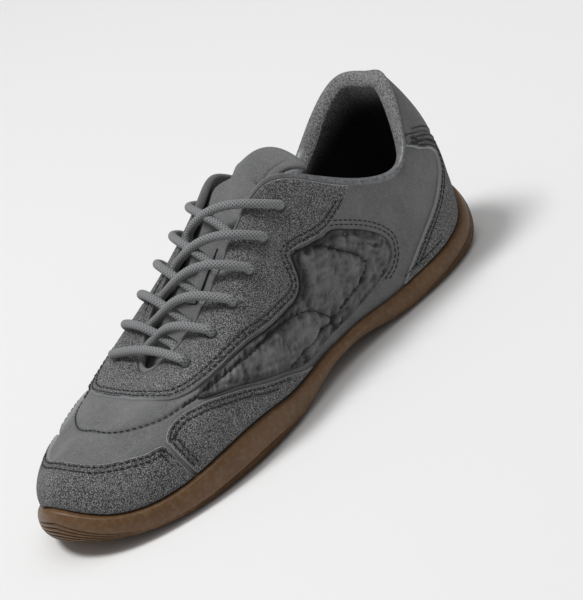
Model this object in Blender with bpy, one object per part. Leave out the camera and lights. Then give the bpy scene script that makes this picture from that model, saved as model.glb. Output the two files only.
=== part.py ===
"""Left barefoot shoe: a low lace-up with a thin gum cupsole, a hollow upper and suede overlays.

Frame: +X runs from heel to toe, +Y to the wearer's left (the outer side of this left shoe), +Z up.
The shoe stands on the floor plane z = 0, with the origin under the middle of its bounding box.

The upper is a ring of columns. Each column climbs from the sole's rim to the edge of the mouth,
which is collar and throat in one loop. A place on it is (around, up): around counts the rows of
the SECTIONS table, 0 at the heel's back, 10 at the toe tip and 20 at the heel again, and up runs
from 0 at the rim to 1 at the mouth.
"""

import math

import bmesh
import bpy
import mathutils
import numpy as np

MM = 0.001

# Driving sizes of the last and the sole
SOLE_LENGTH = 280 * MM
HEEL_WIDTH = 71 * MM
WAIST_WIDTH = 70 * MM
BALL_WIDTH = 102 * MM
HEEL_HEIGHT = 87 * MM
COLLAR_DIP_HEIGHT = 58 * MM
INSTEP_HEIGHT = 84 * MM
VAMP_HEIGHT = 52 * MM
COLLAR_WIDTH = 60 * MM
THROAT_WIDTH = 42 * MM

# Sole
RIM_HEIGHT = 14 * MM
RIM_THICKNESS = 1.8 * MM
RIM_TUCK = 3.0 * MM
SIDE_BELLY = 1.2 * MM
TREAD_INSET = 4.8 * MM
OUTSOLE_THICKNESS = 3.5 * MM
TOE_SPRING = 7.5 * MM
HEEL_BEVEL = 9 * MM
ARCH_LIFT = 6.5 * MM
RIB_COUNT = 7
RIB_DEPTH = 0.9 * MM

# Ribs of the sidewall as (row of SECTIONS, how far up the wall they reach, share of RIB_DEPTH), round the
# whole sole: they fan out round the heel, under the little toe and at the toe's inner corner.
RIBS = (
    (0, 0.88, 1.0), (1, 0.86, 1.0), (2, 0.66, 0.9), (3, 0.40, 0.3), (4, 0.36, 0.0), (5, 0.40, 0.2),
    (6, 0.50, 0.9), (7, 0.46, 0.7), (8, 0.40, 0.0), (9, 0.44, 0.0), (10, 0.52, 0.4), (11, 0.56, 0.8),
    (12, 0.50, 0.4), (13, 0.44, 0.3), (14, 0.44, 0.6), (15, 0.40, 0.2), (16, 0.36, 0.0), (17, 0.40, 0.3),
    (18, 0.66, 0.9), (19, 0.86, 1.0), (20, 0.88, 1.0),
)

# Where the mouth stands almost plumb over the rim, its edge falls straight outward
PLUMB_REACH = 16 * MM
PLUMB_LEAN = 12 * MM

# Upper and what lies on it
WALL = 2.0 * MM
COLLAR_PADDING = 4.0 * MM
PADDING_ENDS = 4.9
PADDING_FADE = 1.2
GAP = 0.3 * MM
LAY_GAP = 0.55 * MM
SUEDE = 1.3 * MM
NYLON_PUFF = 1.0 * MM
INSOLE_THICKNESS = 3.5 * MM
INSOLE_DRAFT = 0.5 * MM
TONGUE_THICKNESS = 3.0 * MM
TONGUE_REACH = 28 * MM
TONGUE_RISE = 5 * MM
TONGUE_SWING = 3 * MM
TONGUE_WIDTH = 46 * MM
TONGUE_FALL = 9 * MM
TONGUE_SWEEP = 3 * MM
EYELET_DIAMETER = 5.0 * MM
LACE_DIAMETER = 4.2 * MM

# Finishes, as linear colours
SUEDE_GREY = (0.092, 0.094, 0.096)
NUBUCK = (0.145, 0.147, 0.150)
NYLON = (0.082, 0.083, 0.085)
LINING = (0.030, 0.030, 0.031)
CORD = (0.180, 0.180, 0.182)
GUM = (0.240, 0.125, 0.050)

# Mesh density
COLUMNS = 76
WALL_ROWS = 9
OVERLAY_CELL = 7.0 * MM
TUBE_SIDES = 6
TUBE_RINGS = 8
HOLE_SIDES = 8
HOLE_DEPTH = 8 * MM
FLAT_HEIGHT = 80 * MM
ROLL_SHARE = 0.35

# One row for each section around the shoe, heel to toe. along is a share of the sole's length, and
# outer and inner are shares of half the width that the row follows. wall is the sidewall's height
# as a share of RIM_HEIGHT. mouth_along, mouth_across and mouth_up place the mouth's edge: shares of
# the length, of half the mouth's width and of the height that the row follows. tuck is how far the
# rim leans in over the sidewall, as a share of RIM_TUCK. The sections give the shoe's outer form, so
# the upper's own face lies back from it by cover, a share of an overlay's thickness. rise and reach are
# the lengths of the column's end tangents as shares of its chord, lean tips the first one outward
# and slope is the fall of the last one below the horizontal, both in degrees.
COLUMNS_OF_SECTIONS = (
    "name along outer inner width wall tuck cover mouth_along mouth_across mouth mouth_up height",
    "rise lean reach slope",
)
SECTIONS = (
    (
        "heel back", 0.000, 0.00, 0.00, "heel", 1.43, 1.00, 1.0, 0.045, 0.00, "collar", 1.045,
        "heel", 0.50, 10, 0.31, 68,
    ),
    (
        "heel corner", 0.021, 0.66, 0.61, "heel", 1.25, 0.90, 1.0, 0.064, 0.53, "collar", 1.05,
        "heel", 0.49, 7, 0.31, 64,
    ),
    (
        "heel", 0.113, 1.07, 0.96, "heel", 0.91, 0.45, 1.0, 0.128, 1.06, "collar", 0.83,
        "heel", 0.46, 4, 0.32, 65,
    ),
    (
        "rear waist", 0.278, 1.12, 0.92, "waist", 0.80, 0.33, 0.4, 0.218, 1.16, "collar", 1.04,
        "dip", 0.43, 3, 0.32, 68,
    ),
    (
        "waist", 0.432, 1.05, 0.86, "waist", 0.48, 0.30, 0.3, 0.336, 0.96, "collar", 0.95,
        "instep", 0.41, 3, 0.33, 64,
    ),
    (
        "joint", 0.574, 0.81, 0.75, "ball", 0.78, 0.30, 0.8, 0.429, 0.87, "throat", 1.11,
        "instep", 0.38, 4, 0.32, 49,
    ),
    (
        "ball", 0.690, 0.88, 0.95, "ball", 1.15, 0.33, 1.0, 0.538, 0.73, "throat", 0.93,
        "instep", 0.39, 5, 0.36, 35,
    ),
    (
        "toes", 0.804, 0.81, 1.00, "ball", 1.03, 0.40, 1.0, 0.640, 0.74, "throat", 1.16,
        "vamp", 0.38, 6, 0.38, 25,
    ),
    (
        "toe corner", 0.908, 0.59, 0.87, "ball", 0.76, 0.50, 1.0, 0.699, 0.44, "throat", 1.00,
        "vamp", 0.37, 5, 0.43, 15,
    ),
    (
        "toe shoulder", 0.971, 0.30, 0.58, "ball", 0.86, 0.55, 1.0, 0.722, 0.22, "throat", 0.95,
        "vamp", 0.34, 3, 0.44, 12,
    ),
    (
        "toe tip", 1.000, -0.13, 0.13, "ball", 1.20, 0.60, 1.0, 0.729, 0.00, "throat", 0.93,
        "vamp", 0.32, 3, 0.44, 12,
    ),
)
ROWS = len(SECTIONS)
TURN = 2 * (ROWS - 1)

# How far up the overlays start, just over the rim
SEAT = 0.014

# Outlines on the upper as (around, up) places, on the outer side. Those that cross the heel or the toe
# start and end there, and the inner side has the same.
TOE_CAP = (
    (10.0, SEAT), (9.2, SEAT), (8.4, SEAT), (7.7, SEAT), (7.27, SEAT), (7.41, 0.15), (7.55, 0.28),
    (7.64, 0.325), (7.96, 0.345), (8.39, 0.365), (9.06, 0.370), (9.6, 0.373), (10.0, 0.376),
)
WING = (
    (7.20, SEAT), (6.8, SEAT), (6.3, SEAT), (5.7, SEAT), (5.1, SEAT), (4.66, SEAT), (4.70, 0.018),
    (5.10, 0.080), (5.72, 0.147), (6.1, 0.215), (6.48, 0.294), (6.78, 0.365), (7.04, 0.412),
    (7.24, 0.440), (7.41, 0.442), (7.54, 0.418), (7.59, 0.370), (7.49, 0.28), (7.34, 0.15),
)
EYESTAY = (
    (10.0, 0.985), (9.2, 0.985), (8.4, 0.985), (7.6, 0.985), (6.8, 0.985), (6.0, 0.985), (5.4, 0.985),
    (4.9, 0.985), (4.4, 0.985), (4.0, 0.985), (3.62, 0.985), (3.67, 0.91), (3.82, 0.775), (3.94, 0.700),
    (4.10, 0.650), (4.28, 0.622), (4.47, 0.606), (4.66, 0.588), (4.59, 0.506), (4.55, 0.438),
    (4.57, 0.400), (4.66, 0.372), (4.82, 0.363), (5.41, 0.375), (5.78, 0.406), (6.39, 0.463),
    (7.02, 0.544), (7.48, 0.619), (7.95, 0.705), (8.45, 0.765), (9.2, 0.815), (10.0, 0.835),
)
SIDE_PANEL = (
    (3.03, 0.35), (3.04, 0.29), (3.10, 0.23), (3.34, 0.15), (3.75, 0.072), (4.20, 0.055), (4.70, 0.045),
    (5.10, 0.100), (5.72, 0.167), (6.10, 0.235), (6.48, 0.314), (6.76, 0.382), (6.95, 0.440),
    (6.90, 0.505), (6.39, 0.443), (5.78, 0.386), (5.41, 0.355), (4.82, 0.343), (4.62, 0.354),
    (4.52, 0.390), (4.50, 0.438), (4.54, 0.512), (4.58, 0.575), (4.44, 0.586), (4.24, 0.603),
    (4.06, 0.632), (3.90, 0.670), (3.64, 0.656), (3.45, 0.625), (3.28, 0.575), (3.13, 0.500), (3.05, 0.43),
)
HEEL_COUNTER = (
    (0.0, SEAT), (0.5, SEAT), (1.0, SEAT), (1.6, SEAT), (2.3, SEAT), (2.97, SEAT), (2.86, 0.07),
    (2.72, 0.14), (2.54, 0.225), (2.30, 0.300), (2.05, 0.332), (1.83, 0.346), (1.60, 0.350),
    (1.45, 0.365), (1.42, 0.395), (1.48, 0.455), (1.65, 0.569), (1.91, 0.731), (2.03, 0.844),
    (2.17, 0.985), (2.07, 0.985), (1.98, 0.925), (1.74, 0.780), (1.52, 0.650), (1.33, 0.536),
    (1.02, 0.380), (0.75, 0.285), (0.40, 0.205), (0.0, 0.180),
)
HEEL_TAB = (
    (0.0, 0.200), (0.40, 0.225), (0.75, 0.307), (1.02, 0.402), (1.32, 0.558), (1.51, 0.672),
    (1.73, 0.803), (1.96, 0.945), (2.01, 0.985), (1.6, 0.985), (1.2, 0.985), (0.8, 0.985), (0.4, 0.985),
    (0.0, 0.985),
)
EYELETS = ((4.72, 0.844), (5.11, 0.750), (5.51, 0.694), (5.98, 0.681), (6.55, 0.719), (7.25, 0.775))

# Tongue: rows of the throat with how far it reaches under the eyestay, a share of the way down; then
# its free end, which lies back over the instep: shares of TONGUE_REACH backward, of TONGUE_WIDTH, of
# TONGUE_FALL to its sides and of TONGUE_RISE upward.
TONGUE_ROWS = (
    (9.3, 0.10), (8.6, 0.11), (7.9, 0.12), (7.2, 0.13), (6.5, 0.13), (5.8, 0.12), (5.1, 0.11),
)
TONGUE_END = (
    (0.25, 0.70, 0.92, 0.46), (0.50, 0.64, 0.72, 0.80), (0.75, 0.78, 0.66, 1.00), (0.93, 0.98, 0.92, 1.04),
    (1.0, 0.95, 1.00, 0.88),
)
WING_SHARES = (1.0, 0.5, 0.0)
TONGUE_CROWN = 0.12
TONGUE_BRIDGE = 7

# Lace
LACE_SEAT = 0.6 * MM
LACE_LIFT = 1.2 * MM
LACE_ARCH = 0.48
LACE_DIP = 0.6
LACE_DIVES = (5.90, 6.35, 6.80, 7.30, 7.90)
LACE_LOW = 2.4 * MM
LACE_HIGH = 4.6 * MM

WIDTHS = {"heel": HEEL_WIDTH, "waist": WAIST_WIDTH, "ball": BALL_WIDTH}
MOUTHS = {"collar": COLLAR_WIDTH, "throat": THROAT_WIDTH}
HEIGHTS = {
    "heel": HEEL_HEIGHT,
    "dip": COLLAR_DIP_HEIGHT,
    "instep": INSTEP_HEIGHT,
    "vamp": VAMP_HEIGHT,
}

# The ridge of the foot swings towards the big toe: shares of the length and of the ball's width.
RIDGE_ALONG = (0.00, 0.33, 0.43, 0.54, 0.64, 0.73, 1.00)
RIDGE_ACROSS = (0.000, 0.000, 0.020, 0.022, -0.015, -0.025, -0.070)


def section(row, name):
    """One named cell of the SECTIONS table."""
    return SECTIONS[row][" ".join(COLUMNS_OF_SECTIONS).split().index(name)]


def closed_spline(knots, values, places):
    """Smooth closed curve through values at knots, read at places. The last knot is the first again."""
    knots, values = np.asarray(knots, float), np.asarray(values, float)
    count = len(knots) - 1
    step = np.diff(knots)
    slope = (np.roll(values, -1, 0) - values) / step[:, None]
    matrix, right = np.zeros((count, count)), np.zeros_like(values)
    for i in range(count):
        before, after = step[i - 1], step[i]
        matrix[i, i - 1] += after
        matrix[i, i] += 2 * (before + after)
        matrix[i, (i + 1) % count] += before
        right[i] = 3 * (after * slope[i - 1] + before * slope[i])
    tangent = np.linalg.solve(matrix, right)
    places = np.mod(np.asarray(places, float), knots[-1])
    i = np.clip(np.searchsorted(knots, places, side="right") - 1, 0, count - 1)
    j = (i + 1) % count
    t = ((places - knots[i]) / step[i])[..., None]
    h = step[i][..., None]
    return (
        (2 * t**3 - 3 * t**2 + 1) * values[i]
        + (t**3 - 2 * t**2 + t) * h * tangent[i]
        + (-2 * t**3 + 3 * t**2) * values[j]
        + (t**3 - t**2) * h * tangent[j]
    )


def side_rows():
    """(row, side) for each knot of the loop: heel back, outer side, toe tip, inner side."""
    outer = [(row, 1) for row in range(ROWS)]
    inner = [(row, -1) for row in range(ROWS - 2, 0, -1)]
    return outer + inner


def ridge_across(along):
    """How far the foot's ridge lies to the outer side at a distance along the sole."""
    return np.interp(along / SOLE_LENGTH, RIDGE_ALONG, RIDGE_ACROSS) * BALL_WIDTH


def table_of_knots():
    """Every quantity of the sections as one array, a row for each knot of the loop."""
    rows = []
    for row, side in side_rows():
        half = WIDTHS[section(row, "width")] / 2
        across = section(row, "outer" if side > 0 else "inner") * half * side
        mouth_x = section(row, "mouth_along") * SOLE_LENGTH
        mouth_half = MOUTHS[section(row, "mouth")] / 2
        mouth_y = ridge_across(mouth_x) + section(row, "mouth_across") * mouth_half * side
        rows.append(
            (
                section(row, "along") * SOLE_LENGTH,
                across,
                section(row, "wall") * RIM_HEIGHT,
                section(row, "tuck") * RIM_TUCK,
                section(row, "cover") * (LAY_GAP + SUEDE),
                mouth_x,
                mouth_y,
                section(row, "mouth_up") * HEIGHTS[section(row, "height")],
                section(row, "rise"),
                math.radians(section(row, "lean")),
                section(row, "reach"),
                math.radians(section(row, "slope")),
            )
        )
    return np.array(rows)


KNOT_VALUES = table_of_knots()
CHORDS = np.linalg.norm(np.roll(KNOT_VALUES[:, :2], -1, 0) - KNOT_VALUES[:, :2], axis=1)
KNOTS = np.concatenate([[0.0], np.cumsum(CHORDS)])


def round_to_knots(around):
    """Turns a count of table rows into a distance round the outline."""
    around = np.asarray(around, float)
    turns = np.floor(around / TURN)
    return np.interp(around - turns * TURN, np.arange(TURN + 1), KNOTS) + turns * KNOTS[-1]


def read_sections(distance):
    """The table's quantities at distances round the outline, as a tuple of arrays."""
    values = closed_spline(KNOTS, KNOT_VALUES, distance)
    return tuple(values[..., i] for i in range(values.shape[-1]))


def ramp(value):
    """0 below 0, 1 above 1, smooth between."""
    value = np.clip(value, 0, 1)
    return value * value * (3 - 2 * value)


def floor_lift(along):
    """Height of the sole's underside: heel bevel, arch and toe spring over two flat spots."""
    share = along / SOLE_LENGTH
    heel = HEEL_BEVEL * np.clip(1 - share / 0.09, 0, 1) ** 2
    toe = TOE_SPRING * np.clip((share - 0.80) / 0.20, 0, 1) ** 2
    arch = ARCH_LIFT * ramp((share - 0.27) / 0.16) * ramp((0.62 - share) / 0.16)
    return heel + toe + arch


def outline(distance, inset=0.0):
    """Points of the sole's outline in plan, moved inward by inset."""
    nudge = 0.5 * MM
    x, y = read_sections(distance)[:2]
    x0, y0 = read_sections(np.asarray(distance) - nudge)[:2]
    x1, y1 = read_sections(np.asarray(distance) + nudge)[:2]
    length = np.hypot(x1 - x0, y1 - y0)
    outward_x, outward_y = -(y1 - y0) / length, (x1 - x0) / length
    return x - inset * outward_x, y - inset * outward_y, outward_x, outward_y


def rim_top(distance):
    """Height of the sidewall's top above the floor."""
    x, _, wall = read_sections(distance)[:3]
    return floor_lift(x) + wall


def foot_inset(distance):
    """How far inside the sole's outline the upper stands."""
    tuck, cover = read_sections(distance)[3:5]
    return tuck + RIM_THICKNESS + GAP + cover


def upper_points(distance, up, offset=0.0):
    """Points of the upper's outer face, moved outward by offset along the face's own normal."""
    distance, up = np.broadcast_arrays(np.asarray(distance, float), np.asarray(up, float))
    step, lift = 0.4 * MM, 0.004
    along = outer_form(distance + step, up) - outer_form(distance - step, up)
    high, low = np.minimum(up + lift, 1.0), np.maximum(up - lift, 0.0)
    climb = outer_form(distance, high) - outer_form(distance, low)
    normal = np.cross(climb, along)
    normal /= np.linalg.norm(normal, axis=-1, keepdims=True)
    cover = read_sections(distance)[4]
    return outer_form(distance, up) + normal * (offset - cover)[..., None]


def outer_form(distance, up):
    """The shoe's outer form: a cubic curve from the rim to the mouth for each place around."""
    values = read_sections(distance)
    tuck, mouth_x, mouth_y, mouth_z, rise, lean, reach, slope = values[3:4] + values[5:]
    x, y, out_x, out_y = outline(distance, tuck + RIM_THICKNESS + GAP)
    start = np.stack([x, y, rim_top(distance)], -1)
    end = np.stack([mouth_x, mouth_y, mouth_z], -1)
    chord = np.linalg.norm(end - start, axis=-1)
    outward = np.stack([out_x, out_y, np.zeros_like(out_x)], -1)
    upward = np.array([0.0, 0.0, 1.0])
    first = outward * np.sin(lean)[..., None] + upward * np.cos(lean)[..., None]
    first *= (rise * chord)[..., None]
    away = np.stack([x - mouth_x, y - mouth_y, np.zeros_like(x)], -1)
    near = np.exp(-((np.linalg.norm(away, axis=-1, keepdims=True) / PLUMB_REACH) ** 2))
    away = away + outward * near * PLUMB_LEAN
    away /= np.linalg.norm(away, axis=-1, keepdims=True)
    last = away * np.cos(slope)[..., None] - upward * np.sin(slope)[..., None]
    last *= (reach * chord)[..., None]
    t = np.asarray(up)[..., None]
    return (
        (1 - t) ** 3 * start
        + 3 * (1 - t) ** 2 * t * (start + first)
        + 3 * (1 - t) * t**2 * (end + last)
        + t**3 * end
    )


def even_columns(count):
    """Distances of columns round the outline, the same number on each side between two rows."""
    return round_to_knots(np.arange(count) * TURN / count)


def new_object(name, points, faces, colour, roughness, metallic=0.0):
    """One named object with its own material, shaded smooth."""
    mesh = bpy.data.meshes.new(name)
    mesh.from_pydata([tuple(p) for p in points], [], faces)
    mesh.update()
    material = bpy.data.materials.new(name)
    material.use_nodes = True
    shader = material.node_tree.nodes["Principled BSDF"]
    shader.inputs["Base Color"].default_value = (*colour, 1.0)
    shader.inputs["Roughness"].default_value = roughness
    shader.inputs["Metallic"].default_value = metallic
    mesh.materials.append(material)
    obj = bpy.data.objects.new(name, mesh)
    bpy.context.scene.collection.objects.link(obj)
    fix_normals(mesh)
    mesh.shade_smooth()
    mesh.set_sharp_from_angle(angle=math.radians(40))
    return obj


def fix_normals(mesh):
    """Points a closed mesh's faces outward."""
    cage = bmesh.new()
    cage.from_mesh(mesh)
    bmesh.ops.recalc_face_normals(cage, faces=cage.faces)
    cage.to_mesh(mesh)
    cage.free()


def ring_faces(rings, columns, closed):
    """Quads between rings of columns. closed joins the last ring to the first."""
    faces = []
    for ring in range(rings if closed else rings - 1):
        for column in range(columns):
            after = (column + 1) % columns
            here, there = ring * columns, (ring + 1) % rings * columns
            faces.append((here + column, here + after, there + after, there + column))
    return faces


def cap_faces(start, columns):
    """Quads and two triangles that close a ring by joining its outer side to its inner side."""
    faces = [(start, start + 1, start + columns - 1)]
    half = columns // 2
    for k in range(1, half - 1):
        faces.append((start + k, start + k + 1, start + columns - k - 1, start + columns - k))
    faces.append((start + half - 1, start + half, start + half + 1))
    return faces


def sidewall(distance, up, rib=0.0):
    """Points of the sole's sidewall, up from its lower edge. rib is the depth cut into it there."""
    x, _, wall, tuck = read_sections(distance)[:4]
    low = floor_lift(x)
    reach = np.stack([0 * x - TREAD_INSET, 0 * x + 0.2 * TREAD_INSET, 0 * x + SIDE_BELLY, -tuck], -1)
    height = np.stack([0 * wall, 0.02 * wall, 0.62 * wall, wall], -1)
    t = np.asarray(up)
    weight = np.stack([(1 - t) ** 3, 3 * (1 - t) ** 2 * t, 3 * (1 - t) * t**2, t**3 + 0 * t], -1)
    out = (weight * reach).sum(-1) - rib
    z = low + (weight * height).sum(-1)
    px, py, _, _ = outline(distance, -out)
    return np.stack([px, py, z], -1)


def make_outsole():
    """The gum cupsole: ribbed sidewall, rim, cup wall and floor, in one moulded piece."""
    distance = even_columns(COLUMNS)
    top = np.interp(distance, KNOTS, [row[1] for row in RIBS])
    share = np.interp(distance, KNOTS, [row[2] for row in RIBS])
    rings = [sidewall(distance, 0 * distance)]
    for step in range(1, 2 * RIB_COUNT + 1):
        depth = RIB_DEPTH * share * (step % 2)
        rings.append(sidewall(distance, top * step / (2 * RIB_COUNT), depth))
    rings.append(sidewall(distance, (1 + top) / 2))
    rings.append(sidewall(distance, 1 + 0 * distance))
    x, y, _, _ = outline(distance, foot_inset(distance) - GAP)
    rings.append(np.stack([x, y, rim_top(distance)], -1))
    floor = floor_lift(x) + OUTSOLE_THICKNESS
    rings.append(np.stack([x, y, floor], -1))
    points = np.concatenate(rings)
    faces = ring_faces(len(rings), COLUMNS, closed=False)
    faces += cap_faces(0, COLUMNS) + cap_faces((len(rings) - 1) * COLUMNS, COLUMNS)
    return new_object("outsole", points, faces, GUM, 0.55)


def wall_thickness(distance, up):
    """The upper's wall: thin everywhere, padded inward towards the collar."""
    around = np.interp(np.mod(distance, KNOTS[-1]), KNOTS, np.arange(TURN + 1))
    from_heel = np.minimum(around, TURN - around)
    collar = ramp((PADDING_ENDS - from_heel) / PADDING_FADE)
    return WALL + COLLAR_PADDING * collar * ramp((up - 0.55) / 0.35)


def floor_ring(distance, inset, height):
    """A ring in the cup: inset from where the upper stands, at a height above the cup's floor."""
    x, y, _, _ = outline(distance, foot_inset(distance) + inset)
    return np.stack([x, y, floor_lift(x) + OUTSOLE_THICKNESS + height], -1)


def make_upper():
    """The hollow upper: outer face, rolled mouth, inner face, open at the mouth and underneath."""
    distance = even_columns(COLUMNS)
    rows = np.linspace(0, 1, WALL_ROWS + 1)
    rings = [floor_ring(distance, 0, GAP)]
    rings += [upper_points(distance, row) for row in rows]
    edge = rings[-1]
    lining = upper_points(distance, 1.0, -wall_thickness(distance, 1.0))
    below = upper_points(distance, 0.97, -wall_thickness(distance, 0.97) / 2)
    middle = (edge + lining) / 2
    crest = (middle - below) / np.linalg.norm(middle - below, axis=-1, keepdims=True)
    roll = wall_thickness(distance, 1.0)[:, None] * ROLL_SHARE
    rings.append(middle + crest * roll + (edge - middle) * 0.55)
    rings.append(middle + crest * roll - (edge - middle) * 0.55)
    rings.append(lining)
    for row in rows[-2:0:-1]:
        rings.append(upper_points(distance, row, -wall_thickness(distance, row)))
    stand = floor_ring(distance, WALL, GAP)
    rings.append(stand * (1, 1, 0) + np.outer(rim_top(distance), (0, 0, 1)))
    rings.append(stand)
    faces = ring_faces(len(rings), COLUMNS, closed=True)
    upper = new_object("upper", np.concatenate(rings), faces, NUBUCK, 0.8)
    cut_eyelets(upper)


def make_insole():
    """The footbed: a thin sheet that lies in the cup, inside the upper's foot."""
    distance = even_columns(COLUMNS)
    low = floor_ring(distance, WALL + GAP, GAP)
    high = floor_ring(distance, WALL + GAP + INSOLE_DRAFT, GAP + INSOLE_THICKNESS)
    faces = ring_faces(2, COLUMNS, closed=False)
    faces += cap_faces(0, COLUMNS) + cap_faces(COLUMNS, COLUMNS)
    new_object("insole", np.concatenate([low, high]), faces, LINING, 0.95)


def side_outline(rows, side):
    """An overlay's outline on the outer side (1), or the same on the inner side (-1)."""
    if side > 0:
        return list(rows)
    return [(TURN - around, up) for around, up in reversed(rows)]


def both_sides(rows):
    """An outline that runs over the outer side and back over the inner one, across row 0 or row 10."""
    across = 0 if rows[0][0] < TURN / 4 else TURN
    other = [(across - around, up) for around, up in reversed(rows)]
    return [*rows, *(place for place in other if place not in rows)]


def overlay(name, places, thickness, colour, roughness):
    """A piece of sheet that lies a gap off the upper, cut to an outline of (around, up) places."""
    flat = np.array([(round_to_knots(around), up * FLAT_HEIGHT) for around, up in places])
    solid = upper_points(flat[:, 0], flat[:, 1] / FLAT_HEIGHT)
    spans = np.linalg.norm(np.roll(solid, -1, 0) - solid, axis=1)
    loop = []
    for start, end, span in zip(flat, np.roll(flat, -1, 0), spans):
        steps = max(1, math.ceil(span / OVERLAY_CELL))
        loop += [start + (end - start) * step / steps for step in range(steps)]
    loop = np.array(loop)
    points = [mathutils.Vector(p) for p in np.concatenate([loop, grid_inside(loop)])]
    found = mathutils.geometry.delaunay_2d_cdt(points, [], [list(range(len(loop)))], 1, 1e-7)
    flat = np.array(found[0])
    triangles = [tuple(face) for face in found[2]]
    distance, up = flat[:, 0], np.clip(flat[:, 1] / FLAT_HEIGHT, 0, 1)
    top = upper_points(distance, up, LAY_GAP + thickness)
    bottom = upper_points(distance, up, LAY_GAP)
    count = len(flat)
    faces = triangles + [tuple(count + i for i in reversed(t)) for t in triangles]
    edges = {(t[i], t[(i + 1) % 3]) for t in triangles for i in range(3)}
    faces += [(b, a, count + a, count + b) for a, b in edges if (b, a) not in edges]
    return new_object(name, np.concatenate([top, bottom]), faces, colour, roughness)


def grid_inside(loop):
    """Points of a staggered grid inside a flat outline, clear of its edge and of each other in space."""
    low, high = loop.min(0), loop.max(0)
    across = np.arange(low[0], high[0], OVERLAY_CELL)
    climb = np.arange(low[1], high[1], OVERLAY_CELL * 0.87)
    grid = np.array([(x + (j % 2) * OVERLAY_CELL / 2, y) for j, y in enumerate(climb) for x in across])
    start, end = loop, np.roll(loop, -1, 0)
    crosses = (start[:, 1] > grid[:, None, 1]) != (end[:, 1] > grid[:, None, 1])
    run = np.where(end[:, 1] == start[:, 1], 1.0, end[:, 1] - start[:, 1])
    at = start[:, 0] + (grid[:, None, 1] - start[:, 1]) * (end[:, 0] - start[:, 0]) / run
    grid = grid[(crosses & (grid[:, None, 0] < at)).sum(1) % 2 == 1]
    kept = list(upper_points(loop[:, 0], loop[:, 1] / FLAT_HEIGHT))
    chosen = []
    for place in grid:
        spot = upper_points(place[0], place[1] / FLAT_HEIGHT)
        if np.linalg.norm(np.array(kept) - spot, axis=1).min() > OVERLAY_CELL * 0.62:
            kept.append(spot)
            chosen.append(place)
    return np.array(chosen).reshape(-1, 2)


def eyelet_frames():
    """(centre, outward normal) of each eyelet: the outer row from the heel forward, then the inner one."""
    frames = []
    for side in (1, -1):
        for around, up in EYELETS:
            distance = round_to_knots(around if side > 0 else TURN - around)
            low, high = upper_points(distance, up), upper_points(distance, up, np.array(MM))
            frames.append((low, (high - low) / MM))
    return frames


def cut_eyelets(obj):
    """Punches the lace holes through a sheet."""
    points, faces = [], []
    for centre, normal in eyelet_frames():
        turn = mathutils.Vector(normal).to_track_quat("Z", "Y").to_matrix()
        start = len(points)
        for level in (-HOLE_DEPTH, HOLE_DEPTH):
            for k in range(HOLE_SIDES):
                angle = 2 * math.pi * k / HOLE_SIDES
                spot = mathutils.Vector((math.cos(angle), math.sin(angle), 0)) * EYELET_DIAMETER / 2
                spot.z = level
                points.append(mathutils.Vector(centre) + turn @ spot)
        ring = [start + k for k in range(HOLE_SIDES)]
        faces.append(tuple(reversed(ring)))
        faces.append(tuple(k + HOLE_SIDES for k in ring))
        for k in range(HOLE_SIDES):
            a, b = ring[k], ring[(k + 1) % HOLE_SIDES]
            faces.append((a, b, b + HOLE_SIDES, a + HOLE_SIDES))
    punch = new_object(obj.name + "_punch", points, faces, NUBUCK, 0.8)
    punch.hide_render = True
    punch.display_type = "WIRE"
    cut = obj.modifiers.new("eyelets", "BOOLEAN")
    cut.operation = "DIFFERENCE"
    cut.solver = "EXACT"
    cut.object = punch


def make_overlays():
    """The suede, nubuck and nylon pieces stitched over the upper."""
    overlay("toe_cap", both_sides(TOE_CAP), SUEDE, SUEDE_GREY, 0.95)
    overlay("wing_outer", side_outline(WING, 1), SUEDE, SUEDE_GREY, 0.95)
    overlay("wing_inner", side_outline(WING, -1), SUEDE, SUEDE_GREY, 0.95)
    overlay("side_panel_outer", side_outline(SIDE_PANEL, 1), NYLON_PUFF, NYLON, 0.6)
    overlay("side_panel_inner", side_outline(SIDE_PANEL, -1), NYLON_PUFF, NYLON, 0.6)
    overlay("heel_counter", both_sides(HEEL_COUNTER), SUEDE, SUEDE_GREY, 0.95)
    overlay("heel_tab", both_sides(HEEL_TAB), SUEDE, NUBUCK, 0.8)
    cut_eyelets(overlay("eyestay", both_sides(EYESTAY), SUEDE, SUEDE_GREY, 0.95))


def tongue_section(row, spread, crown):
    """Points across the tongue's top at a row of the throat, a gap under the upper on both sides."""
    depth = -(WALL + 2 * GAP)
    outer, inner = round_to_knots(row), round_to_knots(TURN - row)
    wings = []
    for distance in (outer, inner):
        wings.append([upper_points(distance, 1 - spread * share, np.array(depth)) for share in WING_SHARES])
    (a, b, c), (f, e, d) = wings
    reach = crown * np.linalg.norm(d - c)
    start = (c - b) / np.linalg.norm(c - b) * reach
    end = (d - e) / np.linalg.norm(d - e) * reach
    t = np.linspace(0, 1, TONGUE_BRIDGE)[1:-1, None]
    rising = (1 - t) ** 3 * c + 3 * (1 - t) ** 2 * t * (c + start)
    falling = 3 * (1 - t) * t**2 * (d + end) + t**3 * d
    bridge = rising + falling
    return np.array([a, b, c, *bridge, d, e, f])


def tongue_top():
    """The tongue's upper face as sections from its root under the vamp to its free end."""
    sections = [tongue_section(row, spread, TONGUE_CROWN) for row, spread in TONGUE_ROWS]
    last = sections[-1]
    middle = len(last) // 2
    t = np.linspace(1, -1, len(last))
    for back, width, fall, lift in TONGUE_END:
        centre = last[middle] + (-back * TONGUE_REACH, back * TONGUE_SWING, lift * TONGUE_RISE)
        arc = np.stack([t**2 * TONGUE_SWEEP, t * width * TONGUE_WIDTH / 2, -(t**2) * fall * TONGUE_FALL], -1)
        sections.append(centre + arc)
    return np.array(sections)


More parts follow.
